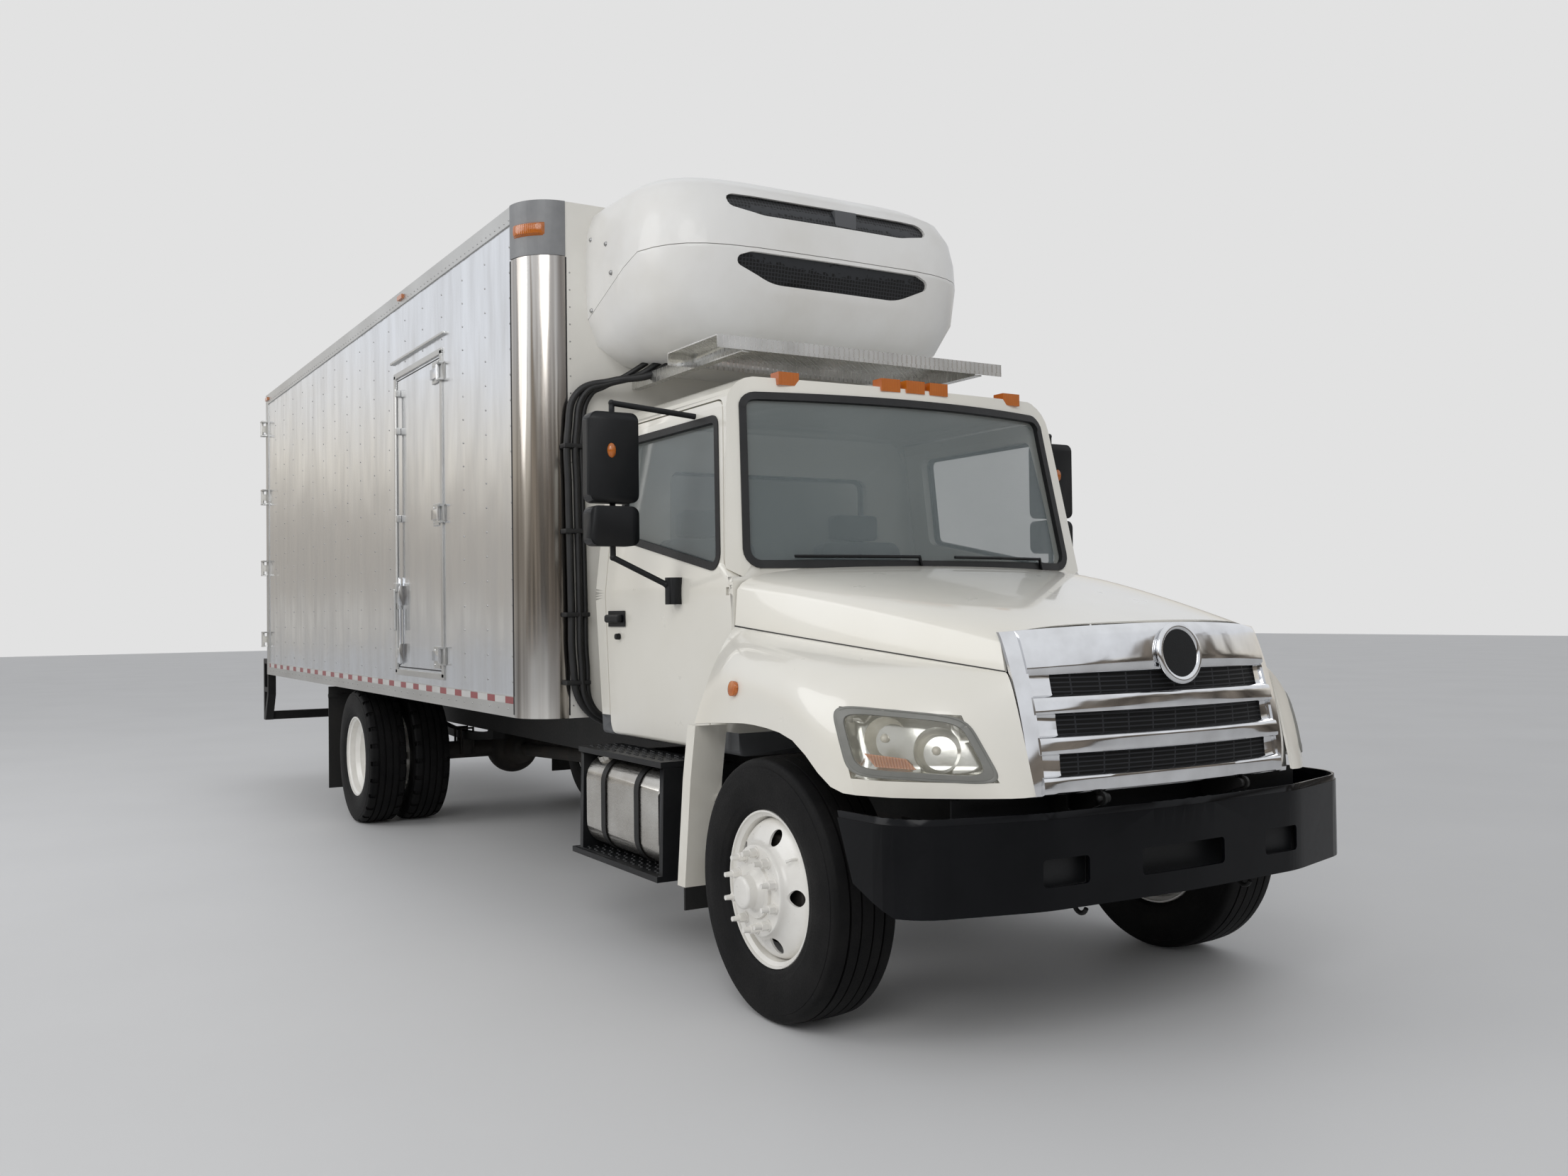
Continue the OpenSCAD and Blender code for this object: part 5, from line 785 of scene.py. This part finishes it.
# A plain chromed ring, 224 mm across, stands on the band over a black disc; lugs below turn on the frame's pins.
middle, lean = Vector((5.2135, 0, 1.385)), Vector((0.99, 0, 0.14)).normalized()
stand = aimed(middle, lean)
ring = bmesh.new()
spun(ring, [stand @ Vector((0.098 + 0.014 * math.cos(a), 0, 0.010 * math.sin(a)))
            for a in [2 * math.pi * k / 14 for k in range(14)]], middle, lean, 56, True)
outward(ring)
piece("grille_ring", ring, chrome, "hood_body", 60.0)
disc = bmesh.new()
cone(disc, middle - lean * 0.002, lean, 0.100, 0.094, 0.012, 48)
rounded(disc, disc.edges, 0.002)
piece("grille_disc", disc, black_plastic, "hood_body")
lugs = bmesh.new()
for side in (-1, 1):
    block(lugs, (5.160, side * 0.357, 0.885), (5.185, side * 0.369, 0.955), 0.003)
    cone(lugs, (5.185, side * 0.363, 0.89), (0, 1, 0), 0.024, 0.024, 0.012, 24)
piece("grille_lugs", lugs, chassis_black, "hood_body")
screen = Finish("grille_screen", specular_ior_level=0.3)
bars = (screen.axis("Z") * 62.0) % 1.0
posts = (screen.axis("Y") * 9.0) % 1.0
# The screen's openings are not cut through: the hole mask paints them near-black (030303), painted shade for the
# dark behind the screen.
hole = (bars > 0.32) * (posts > 0.06)
screen.coat(hole, "26272a", "030303", 0.5 + hole * 0.3, 1.0 - hole, 0.004)
dress("grille_screen", screen)

# Each headlamp is a silvered housing with a round main bowl, an inner bowl and an amber block, behind a
# clear lens that has clouded with age, in a grey surround.
lamp_clear = Finish("lamp_clear", ior=1.45, coat_weight=0.4)
cloud = lamp_clear.noise(10.0, 4.0)
lamp_clear.set(base_color=lamp_clear.tint(cloud, "d9d6c6", "b5b09c"), roughness=0.12 + cloud * 0.1,
               alpha=0.2 + cloud * 0.14)
silvered = worn("silvered", "d4d4d0", "b2b1a8", 0.16, patch=9.0, grain=40.0, metallic=1.0)
surround = worn("lamp_surround", "83837e", "74746f", 0.42, patch=9.0, grain=120.0)
bulb = worn("bulb_glass", "f2ede0", "d9d2c2", 0.1, patch=30.0, grain=60.0)


def lamp_out(side):
    """The way straight out of a headlamp."""
    return Vector((0.70, side * 0.66, 0.12))


def lamp_spot(side, u, v, depth):
    """A point in a headlamp: u from outer to inner end, v from top to foot, depth behind the lens."""
    top = Vector((0.428, 1.112, 1.216)).lerp(Vector((0.824, 0.832, 1.182)), u)
    foot = Vector((0.540, 1.116, 0.982)).lerp(Vector((0.930, 0.764, 0.964)), u)
    p = top.lerp(foot, v) - lamp_out(1) * depth
    return Vector((front_axle_x + p.x, side * p.y, p.z))


face_mesh = merged("fenders")
face_mesh.from_mesh(frame["nodes"]["front_lamps"].data)
lamp_face = BVHTree.FromBMesh(face_mesh)
face_mesh.free()


def on_lamp(side, u, v, proud):
    """A point over the face of the fender and lamp, found by looking straight in."""
    out = lamp_out(side).normalized()
    hit = lamp_face.ray_cast(lamp_spot(side, u, v, -0.25), -out, 0.6)[0]
    return (hit if hit else lamp_spot(side, u, v, 0.0)) + out * proud


def lamp_loop(bm, side, edge, proud):
    """A closed line round the lamp, a share of its size in from the edge."""
    verts = []
    for k in range(72):
        a = 2 * math.pi * k / 72
        x, y = math.cos(a), math.sin(a)
        u = 0.5 + (0.5 - edge) * math.copysign(abs(x) ** 0.32, x)
        v = 0.5 + (0.5 - edge * 1.5) * math.copysign(abs(y) ** 0.32, y)
        verts.append(bm.verts.new(on_lamp(side, u, v, proud)))
    return [bm.edges.new((verts[k], verts[k - 1])) for k in range(72)]


lamp_parts = merged("front_lamps")
for face in lamp_parts.faces:
    spot = face.calc_center_median()
    if spot.x < 4.3:
        face.material_index = 2
    else:
        face.material_index = 0 if face.normal.dot(lamp_out(math.copysign(1, spot.y))) > 0.55 else 1
lamp_skin = piece("lamp_shells", lamp_parts, [lamp_clear, silvered, amber], "hood_body", 40.0)
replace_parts(lamp_skin, "front_lamps")
for hand, side in hands:
    aim = Vector((0.80, side * 0.55, 0.1)).normalized()
    bowls, bulbs, turn_lamp, rim = (bmesh.new() for _ in range(4))
    for u, v, r in ((0.32, 0.42, 0.070), (0.66, 0.55, 0.076)):
        middle = lamp_spot(side, u, v, 0.052)
        section = ((0.006, 0.0), (r * 0.45, 0.004), (r * 0.75, 0.014), (r, 0.030), (r * 1.06, 0.034),
                   (r * 1.08, 0.02))
        spun(bowls, [aimed(middle, aim) @ Vector((reach, 0, rise)) for reach, rise in section], middle, aim, 40)
        bmesh.ops.create_uvsphere(bulbs, u_segments=16, v_segments=10, radius=0.016,
                                  matrix=aimed(lamp_spot(side, u, v, 0.036), aim)
                                  @ Matrix.Diagonal((1, 1, 1.6, 1)))
    outward(bowls)
    piece("lamp_bowls_" + hand, bowls, silvered, "hood_body", 50.0)
    piece("lamp_bulbs_" + hand, bulbs, bulb, "hood_body", 80.0)
    front = turn_lamp.faces.new([turn_lamp.verts.new(lamp_spot(side, u, v, 0.012)) for u, v in
                                 ((0.14, 0.67), (0.42, 0.71), (0.47, 0.865), (0.19, 0.86))])
    bmesh.ops.solidify(turn_lamp, geom=[front], thickness=0.02)
    outward(turn_lamp)
    rounded(turn_lamp, turn_lamp.edges, 0.005)
    piece("lamp_amber_" + hand, turn_lamp, amber, "hood_body")
    lines = [lamp_loop(rim, side, edge, proud) for edge, proud in
             ((-0.018, -0.004), (-0.014, 0.003), (0.0, 0.004), (0.006, 0.002), (0.012, 0.004), (0.058, 0.005),
              (0.066, -0.006))]
    for first, second in zip(lines, lines[1:]):
        bmesh.ops.bridge_loops(rim, edges=first + second)
    outward(rim)
    piece("lamp_rim_" + hand, rim, surround, "hood_body", 50.0)


# ---- Front bumper: pressed steel, glossy black, with a stepped top and three openings, on frame brackets.
# Black plastic sheets close it off behind the openings, a dark backing put there as painted shade for the hollow
# inside, and a bent tow eye hangs under it on each side.

bumper_black = worn("bumper_black", "050609", "0d0e11", 0.2, patch=5.0, grain=30.0, depth=0.0002,
                    specular_ior_level=0.15)
dress("front_bumper", bumper_black, 30.0)
shade_backing, tow = bmesh.new(), bmesh.new()
# Dark sheets behind the openings and at the bumper's ends stand in for the shade inside it: painted shade.
block(shade_backing, (5.135, -0.66, 0.565), (5.150, 0.66, 0.76), 0.004)
block(shade_backing, (4.992, -0.88, 0.765), (5.002, 0.88, 0.903), 0.003)
for y in (-0.42, 0.42):
    side = math.copysign(1, y)
    block(shade_backing, (5.10, y, 0.60), (5.165, side * 0.66, 0.72), 0.01)
    block(shade_backing, (4.93, side * 0.70, 0.565), (5.14, side * 0.712, 0.76), 0.003)
    tube(tow, [(5.13 + 0.03 * math.cos(a), y, 0.522 + 0.03 * math.sin(a))
               for a in [math.radians(200 + 20 * k) for k in range(8)]], 0.0085)
    block(tow, (5.07, y - 0.012, 0.525), (5.17, y + 0.012, 0.56), 0.004)
piece("bumper_backing", shade_backing, black_plastic, "chassis")
piece("tow_eyes", tow, chassis_black, "chassis")


# ---- Insulated box: foam panels under polished aluminium sheet, riveted to posts 400 mm apart.
# The sheet is drum-thin, so its mirror ripples in upright waves; its rails are milled aluminium.

box_sheet = Finish("box_sheet", metallic=1.0)
waves = box_sheet.noise(1.0, 2.0, (3.6, 3.6, 0.32))
broad = box_sheet.noise(1.0, 2.0, (1.3, 1.3, 0.8))
smear = box_sheet.noise(3.0, 5.0, (3.0, 3.0, 0.5))
box_sheet.coat((smear - 0.35) * 2.0, "eceef1", "d4d5d7", 0.13 + (smear - 0.3) * 0.26, waves + broad * 1.6, 0.016,
               0.8)
white_panel = worn("white_panel", "eceae4", "e0ddd5", 0.42, patch=2.0, grain=40.0, depth=0.0003)
mill = worn("mill_aluminium", "cfcfcd", "bebdba", 0.36, patch=1.6, grain=70.0, depth=0.0002, metallic=1.0)


def wall_finish(face):
    """Sheet on a wall's outside, white lining on its inside, and milled rails."""
    out = abs(face.calc_center_median().y)
    if abs(face.normal.y) < 0.9:
        return 1
    return 2 if out < 1.2135 else 0 if 1.281 < out < 1.2905 else 1


for node in ("box_side_right", "box_side_left"):
    dress(node, [box_sheet, mill, white_panel], pick=wall_finish)
dress("side_door", [box_sheet, white_panel], pick=lambda f: 1 if f.normal.y > 0.9 else 0)
for node in ("box_front_wall", "box_roof"):
    dress(node, white_panel)
dress("box_floor", mill)
dress("box_rear_frame", mill)


def rear_finish(face):
    """White lining inside, sheet on the panel outside, and milled rails round it."""
    if face.normal.x > 0.9:
        return 2
    return 0 if face.normal.x < -0.9 and face.calc_center_median().x > -5.0 else 1


for hand, side in hands:
    dress("rear_door_" + hand, [box_sheet, mill, white_panel], pick=rear_finish)
    seal = bmesh.new()
    for (y0, z0), (y1, z1) in (((0.004, 1.24), (0.022, 3.58)), ((0.03, 1.232), (1.16, 1.246)),
                               ((0.03, 3.575), (1.16, 3.589))):
        block(seal, (-4.9985, side * y0, z0), (-4.992, side * y1, z1), 0.002)
    piece("rear_door_seal_" + hand, seal, channel_rubber, "rear_door_%s_body" % hand)

# The rounded front corners are stainless steel, mirror-bright, under grey painted caps.
stainless = Finish("stainless", metallic=1.0)
draw = stainless.noise(1.0, 4.0, (17.0, 17.0, 0.28))
dent = stainless.noise(1.0, 2.0, (7.0, 7.0, 1.2))
streak = stainless.noise(1.0, 3.0, (9.0, 9.0, 0.12))
bright = stainless.tint((draw - 0.3) * 2.0, "e9e7e3", "b9b2aa")
stainless.set(base_color=stainless.mix((streak - 0.38) * 3.4, bright, ink("625a53")),
              roughness=0.09 + (draw - 0.3) * 0.2, normal=stainless.bump(dent, 0.004, 0.7))
joint = bmesh.new()
for side in (-1, 1):
    block(joint, (1.874, side * 1.286, 1.03), (1.886, side * 1.2972, 3.41), 0.0015)
    block(joint, (2.098, side * 1.072, 1.03), (2.1065, side * 1.080, 3.41), 0.0012)
piece("corner_sealant", joint, channel_rubber, "chassis")
cap_grey = worn("cap_grey", "8e8f90", "77787a", 0.45, patch=6.0, grain=60.0, depth=0.0005)


def corner_finish(face):
    """Stainless outside, grey on the cap, and the wall's white lining towards the load."""
    spot = face.calc_center_median()
    around = Vector((spot.x - corner_x, spot.y - math.copysign(corner_y, spot.y), 0)).normalized()
    return 2 if around.dot(face.normal) < -0.5 else 1 if spot.z > 3.412 else 0


dress("box_corners", [stainless, cap_grey, white_panel], 25.0, corner_finish)

# Rivets, with heads 12 to 15 mm across: up each post, along both rails and down the stainless corners' edges;
# six larger ones hold the cap of each corner.
rivet_metal = worn("rivet_metal", "b9b9b8", "8f8f8e", 0.35, patch=20.0, grain=60.0, metallic=1.0)
skin_y, rail_y = 1.287, 1.295
for hand, side in hands:
    rivets, out = bmesh.new(), (0, side, 0)
    for x in [1.845 - 0.4 * k for k in range(17)]:
        for z in [1.2 + 0.135 * k for k in range(18)]:
            if side > 0 or not (-0.44 < x < 0.70 and 1.17 < z < 3.2):
                heads(rivets, [(x, side * skin_y, z)], out, 0.0075, 0.003)
    rail_xs = [1.86 - 0.0735 * k for k in range(92)]
    heads(rivets, [(x, side * rail_y, 3.632) for x in rail_xs], out, 0.0065, 0.0028)
    heads(rivets, [(x, side * rail_y, 1.058) for x in rail_xs[1::2]], out, 0.0065, 0.0028)
    heads(rivets, [(1.855, side * skin_y, 1.15 + 0.09 * k) for k in range(26)], out, 0.006, 0.0026)
    heads(rivets, [(2.105, side * 1.055, 1.08 + 0.09 * k) for k in range(26)], (1, 0, 0), 0.006, 0.0026)
    for k in range(6):
        turn = math.radians(8 + 15 * k)
        way = Vector((math.sin(turn), side * math.cos(turn), 0))
        heads(rivets, [Vector((corner_x, side * corner_y, 3.438)) + way * 0.2155], way, 0.011, 0.004, 10)
    piece("side_rivets_" + hand, rivets, rivet_metal, "chassis", 60.0, False)

# The side door closes in an extruded frame, 40 mm wide, with a black seal and a drip rail above it.
frame_bars = bmesh.new()
for low, high in (((-0.402, 1.178), (-0.362, 3.162)), ((0.622, 1.178), (0.662, 3.162)),
                  ((-0.402, 3.137), (0.662, 3.175)), ((-0.402, 1.165), (0.662, 1.203)),
                  ((-0.46, 3.245), (0.72, 3.262))):
    proud = 1.306 if low[1] > 3.2 else 1.2975
    block(frame_bars, (low[0], -proud, low[1]), (high[0], -1.286, high[1]), 0.003)
piece("side_door_frame", frame_bars, mill, "chassis")
seal = bmesh.new()
for low, high in (((-0.3535, 1.215), (-0.346, 3.125)), ((0.602, 1.215), (0.609, 3.125)),
                  ((-0.35, 3.117), (0.607, 3.1245)), ((-0.35, 1.2155), (0.607, 1.223))):
    block(seal, (low[0] + 0.004, -1.2885, low[1]), (high[0] + 0.001, -1.284, high[1]), 0.0008, 1)
piece("side_door_seal", seal, channel_rubber, "side_door_body")
latch = bmesh.new()
tube(latch, [(-0.295, -1.312, 1.28), (-0.295, -1.312, 3.06)], 0.0085, smooth=False)
for z in (1.32, 1.62, 2.2, 2.78, 3.03):
    block(latch, (-0.322, -1.318, z - 0.022), (-0.268, -1.287, z + 0.022), 0.004)
block(latch, (-0.315, -1.338, 1.46), (-0.283, -1.318, 1.735), 0.008, 3)
block(latch, (-0.332, -1.330, 1.715), (-0.262, -1.300, 1.775), 0.006)
for z in (1.30, 2.17, 3.04):
    block(latch, (0.475, -1.2985, z - 0.068), (0.598, -1.287, z + 0.068), 0.004)
    screws = [(x, -1.2985, z + rise) for x in (0.50, 0.57) for rise in (-0.045, 0.045)]
    heads(latch, screws, (0, -1, 0), 0.009, 0.004)
piece("side_door_latch", latch, mill, "side_door_body")

# Reflecting tape on the lower rail, 36 mm high: red and silver bars in turn, each pressed with fine prisms.
tape = Finish("warning_tape", coat_weight=0.3)
step = ((tape.axis("X") + 20.0) % 0.29) < 0.125
prism = tape.node("ShaderNodeTexVoronoi", {"feature": "DISTANCE_TO_EDGE"},
                  {"Vector": tape.place(), "Scale": 130.0})
fade = tape.noise(8.0, 4.0)
tape.set(base_color=tape.mix(step, tape.tint(fade, "cfcecb", "b9b7b3"),
                             tape.tint(fade, "7d1f22", "96383a")),
         roughness=0.35 + prism * 0.4, normal=tape.bump(prism, 0.0005))
for hand, side in hands:
    strip = bmesh.new()
    block(strip, (-4.86, side * 1.2945, 1.086), (1.875, side * 1.2965, 1.122), 0.0006, 1)
    piece("warning_tape_" + hand, strip, tape, "chassis")


# ---- Cooling unit: two moulded white covers over the machine, bolted on, with black mesh in their slots, its holes painted shade.
# Its hoses run down the box's front wall in clips, and a tread-plate walkway hangs below it.

unit_white = Finish("unit_white", coat_weight=0.2)
grain = unit_white.noise(70.0, 3.0)
soil = unit_white.noise(2.4, 5.0)
unit_white.coat((soil - 0.4) * 1.8, "f0efec", "dedbd4", 0.4 + (soil - 0.5) * 0.2, grain, 0.0002)
unit_rows = [(0, 0.62, 0.56), (0.045, 0.79, 0.72), (0.145, 0.935, 0.86), (0.3, 0.99, 0.96), (0.515, 1, 1),
             (0.66, 1, 0.985), (0.795, 0.99, 0.945), (0.905, 0.955, 0.87), (0.972, 0.88, 0.76), (1, 0.77, 0.6)]
unit_foot, unit_tall, unit_half_w, unit_deep, unit_back, unit_power = 2.83, 0.895, 0.965, 0.945, 2.105, 4.76


def unit_sizes(z):
    """Half width and reach of the covers at a height."""
    share = min(max((z - unit_foot) / unit_tall, 0.0), 1.0)
    for (at, wide, deep), (next_at, next_wide, next_deep) in zip(unit_rows, unit_rows[1:]):
        if share <= next_at:
            t = (share - at) / (next_at - at)
            return unit_half_w * (wide + (next_wide - wide) * t), unit_deep * (deep + (next_deep - deep) * t)


def unit_level(p):
    """Nought on the covers' surface, more outside it."""
    wide, deep = unit_sizes(p.z)
    return abs(p.y / wide) ** unit_power + abs(max(p.x - unit_back, 0.0) / deep) ** unit_power - 1


# The covers are shaded from the surface they were drawn on, so that the cuts in them leave no dents.
reaches = [Vector(way) * 0.035 for way in ((1, 0, 0), (0, 1, 0), (0, 0, 1))]
for node in ("unit_upper", "unit_lower"):
    mesh = dress(node, unit_white, 50.0).data
    normals = []
    for face in mesh.polygons:
        for corner in face.vertices:
            p = mesh.vertices[corner].co
            slope = Vector([unit_level(p + reach) - unit_level(p - reach) for reach in reaches])
            smooth = slope.normalized() if slope.length else face.normal
            near = smooth.dot(face.normal) > 0.86 and abs(unit_level(p)) < 0.12
            normals.append(smooth if near else face.normal)
    mesh.normals_split_custom_set(normals)
bolts = bmesh.new()
for side in (-1, 1):
    heads(bolts, [(2.36, side * 0.966, 3.43), (2.42, side * 0.967, 3.27), (2.16, side * 0.962, 3.13),
                  (2.16, side * 0.962, 3.50)], (0, side, 0), 0.013, 0.004, 12)
piece("unit_bolts", bolts, rivet_metal, "chassis", 50.0)
divider = bmesh.new()
block(divider, (2.93, 0.02, 3.492), (2.992, 0.15, 3.582), 0.006)
piece("unit_divider", divider, grey_trim, "chassis")
mesh_black = Finish("mesh_black", specular_ior_level=0.4)
cells = mesh_black.node("ShaderNodeTexVoronoi", {"feature": "DISTANCE_TO_EDGE"},
                        {"Vector": mesh_black.place((0.4, 1.0, 1.0)), "Scale": 55.0, "Randomness": 0.15})
# The mesh is not cut through: between the dark grey wires its cells are painted near-black (050506), painted
# shade for the dark seen through it.
wire = cells < 0.12
mesh_black.coat(wire, "050506", "2e3033", 0.55 - wire * 0.15, wire, 0.004)
dress("unit_grilles", mesh_black)
hose_rubber = worn("hose_rubber", "101011", "1e1e1e", 0.5, patch=12.0, grain=70.0, depth=0.0005)
hoses = bmesh.new()
for k, (aside, ahead, r) in enumerate(((-0.034, 0.0, 0.019), (0.006, 0.012, 0.017), (0.044, -0.004, 0.0145))):
    x, y = 2.15 + ahead, -1.0 + aside
    tube(hoses, [(2.42 - 0.07 * k, -0.60 - 0.05 * k, 2.862), (2.34 - 0.06 * k, -0.70 - 0.05 * k, 2.79),
                 (2.20 - 0.01 * k, -0.86 - 0.02 * k, 2.765 - 0.015 * k), (x, y, 2.70),
                 (x - 0.002, y - 0.055, 2.5), (x - 0.004, y - 0.055, 2.2), (x - 0.004, y - 0.05, 1.9),
                 (x - 0.002, y - 0.046, 1.6), (x, y - 0.04, 1.3), (x, y, 1.1 - 0.02 * k), (x, y + 0.14, 0.985),
                 (x, -0.66, 0.93 - 0.016 * k), (x, -0.44, 0.90 - 0.016 * k)], r)
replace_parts(piece("unit_hose_bundle", hoses, hose_rubber, "chassis", 60.0), "unit_hoses")
clips = bmesh.new()
for z in (2.42, 1.98, 1.55, 1.2):
    block(clips, (2.104, -1.12, z - 0.012), (2.176, -0.985, z + 0.012), 0.006)
piece("hose_clips", clips, channel_rubber, "chassis")

# The walkway is aluminium tread plate, 6 mm thick, raised in crossed bars, on two channel beams.
plate = Finish("tread_plate", metallic=1.0)
across = plate.node("ShaderNodeTexChecker", {}, {"Vector": plate.place(), "Scale": 26.0}, 1)
bar_a, bar_b = [plate.bands("DIAGONAL", 22.0, (1, way, 0)) for way in (1, -1)]
raised = across * (bar_a > 0.8) + (1.0 - across) * (bar_b > 0.8)
tarnish = plate.noise(6.0, 4.0)
sheen = 0.32 + (tarnish - 0.5) * 0.2 - raised * 0.1
plate.coat((tarnish - 0.3) * 2.0, "e6e6e4", "c3c2be", sheen, raised, 0.002)
dress("walkway", plate)


# ---- The studio: a pale floor under a soft sky, two round lamps, and the camera where the photograph was taken.
# Only reflections see the sky's ramp, with a soft darker band along the horizon ahead of the truck.

ground = bmesh.new()
bmesh.ops.create_grid(ground, x_segments=1, y_segments=1, size=60.0)
floor_mesh = bpy.data.meshes.new("floor")
ground.to_mesh(floor_mesh)
ground.free()
pale = Finish("floor_pale", specular_ior_level=0.3)
cast = pale.noise(0.7, 5.0)
pale.set(base_color=pale.tint(cast, "e6e6e6", "dfdfdf"), roughness=0.55 + (cast - 0.5) * 0.1)
floor_mesh.materials.append(pale.material)
floor = bpy.data.objects.new("floor", floor_mesh)
bpy.context.scene.collection.objects.link(floor)
floor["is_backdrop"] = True

world = bpy.data.worlds.new("studio_sky")
world.use_nodes = True
bpy.context.scene.world = world
sky = Graph(world.node_tree)
way = sky.node("ShaderNodeTexCoord", {}, {}, "Generated")
height = sky.node("ShaderNodeSeparateXYZ", {}, {0: way}, "Z")
ahead = sky.node("ShaderNodeSeparateXYZ", {}, {0: way}, "X")
seen = sky.node("ShaderNodeLightPath", {}, {}, "Is Camera Ray")
shine = sky.node("ShaderNodeLightPath", {}, {}, "Is Glossy Ray")
ramp = sky.tree.nodes.new("ShaderNodeValToRGB")
sky.link(height, ramp.inputs[0])
stops = ((0.0, "c0bdb8"), (0.02, "a8a39c"), (0.07, "b0aaa2"), (0.11, "dfd9ce"), (0.19, "e6e8ec"),
         (0.6, "f0f2f5"))
while len(ramp.color_ramp.elements) < len(stops):
    ramp.color_ramp.elements.new(0.5)
for stop, (place, code) in zip(ramp.color_ramp.elements, stops):
    stop.position = place
    stop.color = ink(code)
grove = sky.node("ShaderNodeTexNoise", {}, {"Vector": way, "Scale": 6.0, "Detail": 4.0})
front = sky.node("ShaderNodeMapRange", {}, {"Value": ahead, 1: -0.25, 2: 0.25, 3: 0.0, 4: 1.0})
hedge = sky.mix((front * (grove * 0.5 - 0.04) - height) * 14.0, Wire(sky, ramp.outputs[0]),
                sky.tint((grove - 0.35) * 3.0, "37332f", "8b8278"))
lit = sky.mix(shine, ink("b2b3b5"), hedge)
sky.link(sky.mix(seen, lit, ink("e2e2e2")), sky.tree.nodes["Background"].inputs["Color"])
sky.tree.nodes["Background"].inputs["Strength"].default_value = 1.0

for name, spot, aim, size, power in (("key", (13.0, -9.0, 9.0), (3.0, 0.0, 1.4), 8.0, 560.0),
                                     ("side", (-2.0, -14.0, 8.0), (-1.0, 0.0, 1.5), 9.0, 480.0)):
    lamp = bpy.data.lights.new(name, "AREA")
    lamp.shape = "DISK"
    lamp.size = size
    lamp.energy = power
    holder = bpy.data.objects.new(name, lamp)
    holder.matrix_world = aimed(spot, Vector(spot) - Vector(aim))
    bpy.context.scene.collection.objects.link(holder)

lens_yaw, lens_pitch, lens_roll = math.radians(31.26), math.radians(1.05), math.radians(-0.71)
look = Vector((-math.cos(lens_yaw) * math.cos(lens_pitch), math.sin(lens_yaw) * math.cos(lens_pitch),
               math.sin(lens_pitch)))
right = look.cross(Vector((0, 0, 1))).normalized()
up = right.cross(look)
right, up = (right * math.cos(lens_roll) + up * math.sin(lens_roll),
             up * math.cos(lens_roll) - right * math.sin(lens_roll))
focal_pixels, photo_pixels, sensor_mm = 1882.4, 2212.0, 36.0
camera_data = bpy.data.cameras.new("camera")
camera_data.sensor_width = sensor_mm
camera_data.lens = sensor_mm * focal_pixels / photo_pixels
camera_data.clip_end = 300.0
camera = bpy.data.objects.new("camera", camera_data)
turn = Matrix((right, up, -look)).transposed().to_4x4()
camera.matrix_world = Matrix.Translation((8.5838, -3.7059, 1.5479)) @ turn
bpy.context.scene.collection.objects.link(camera)
bpy.context.scene.camera = camera
bpy.context.scene.view_settings.view_transform = "Standard"

low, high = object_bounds()
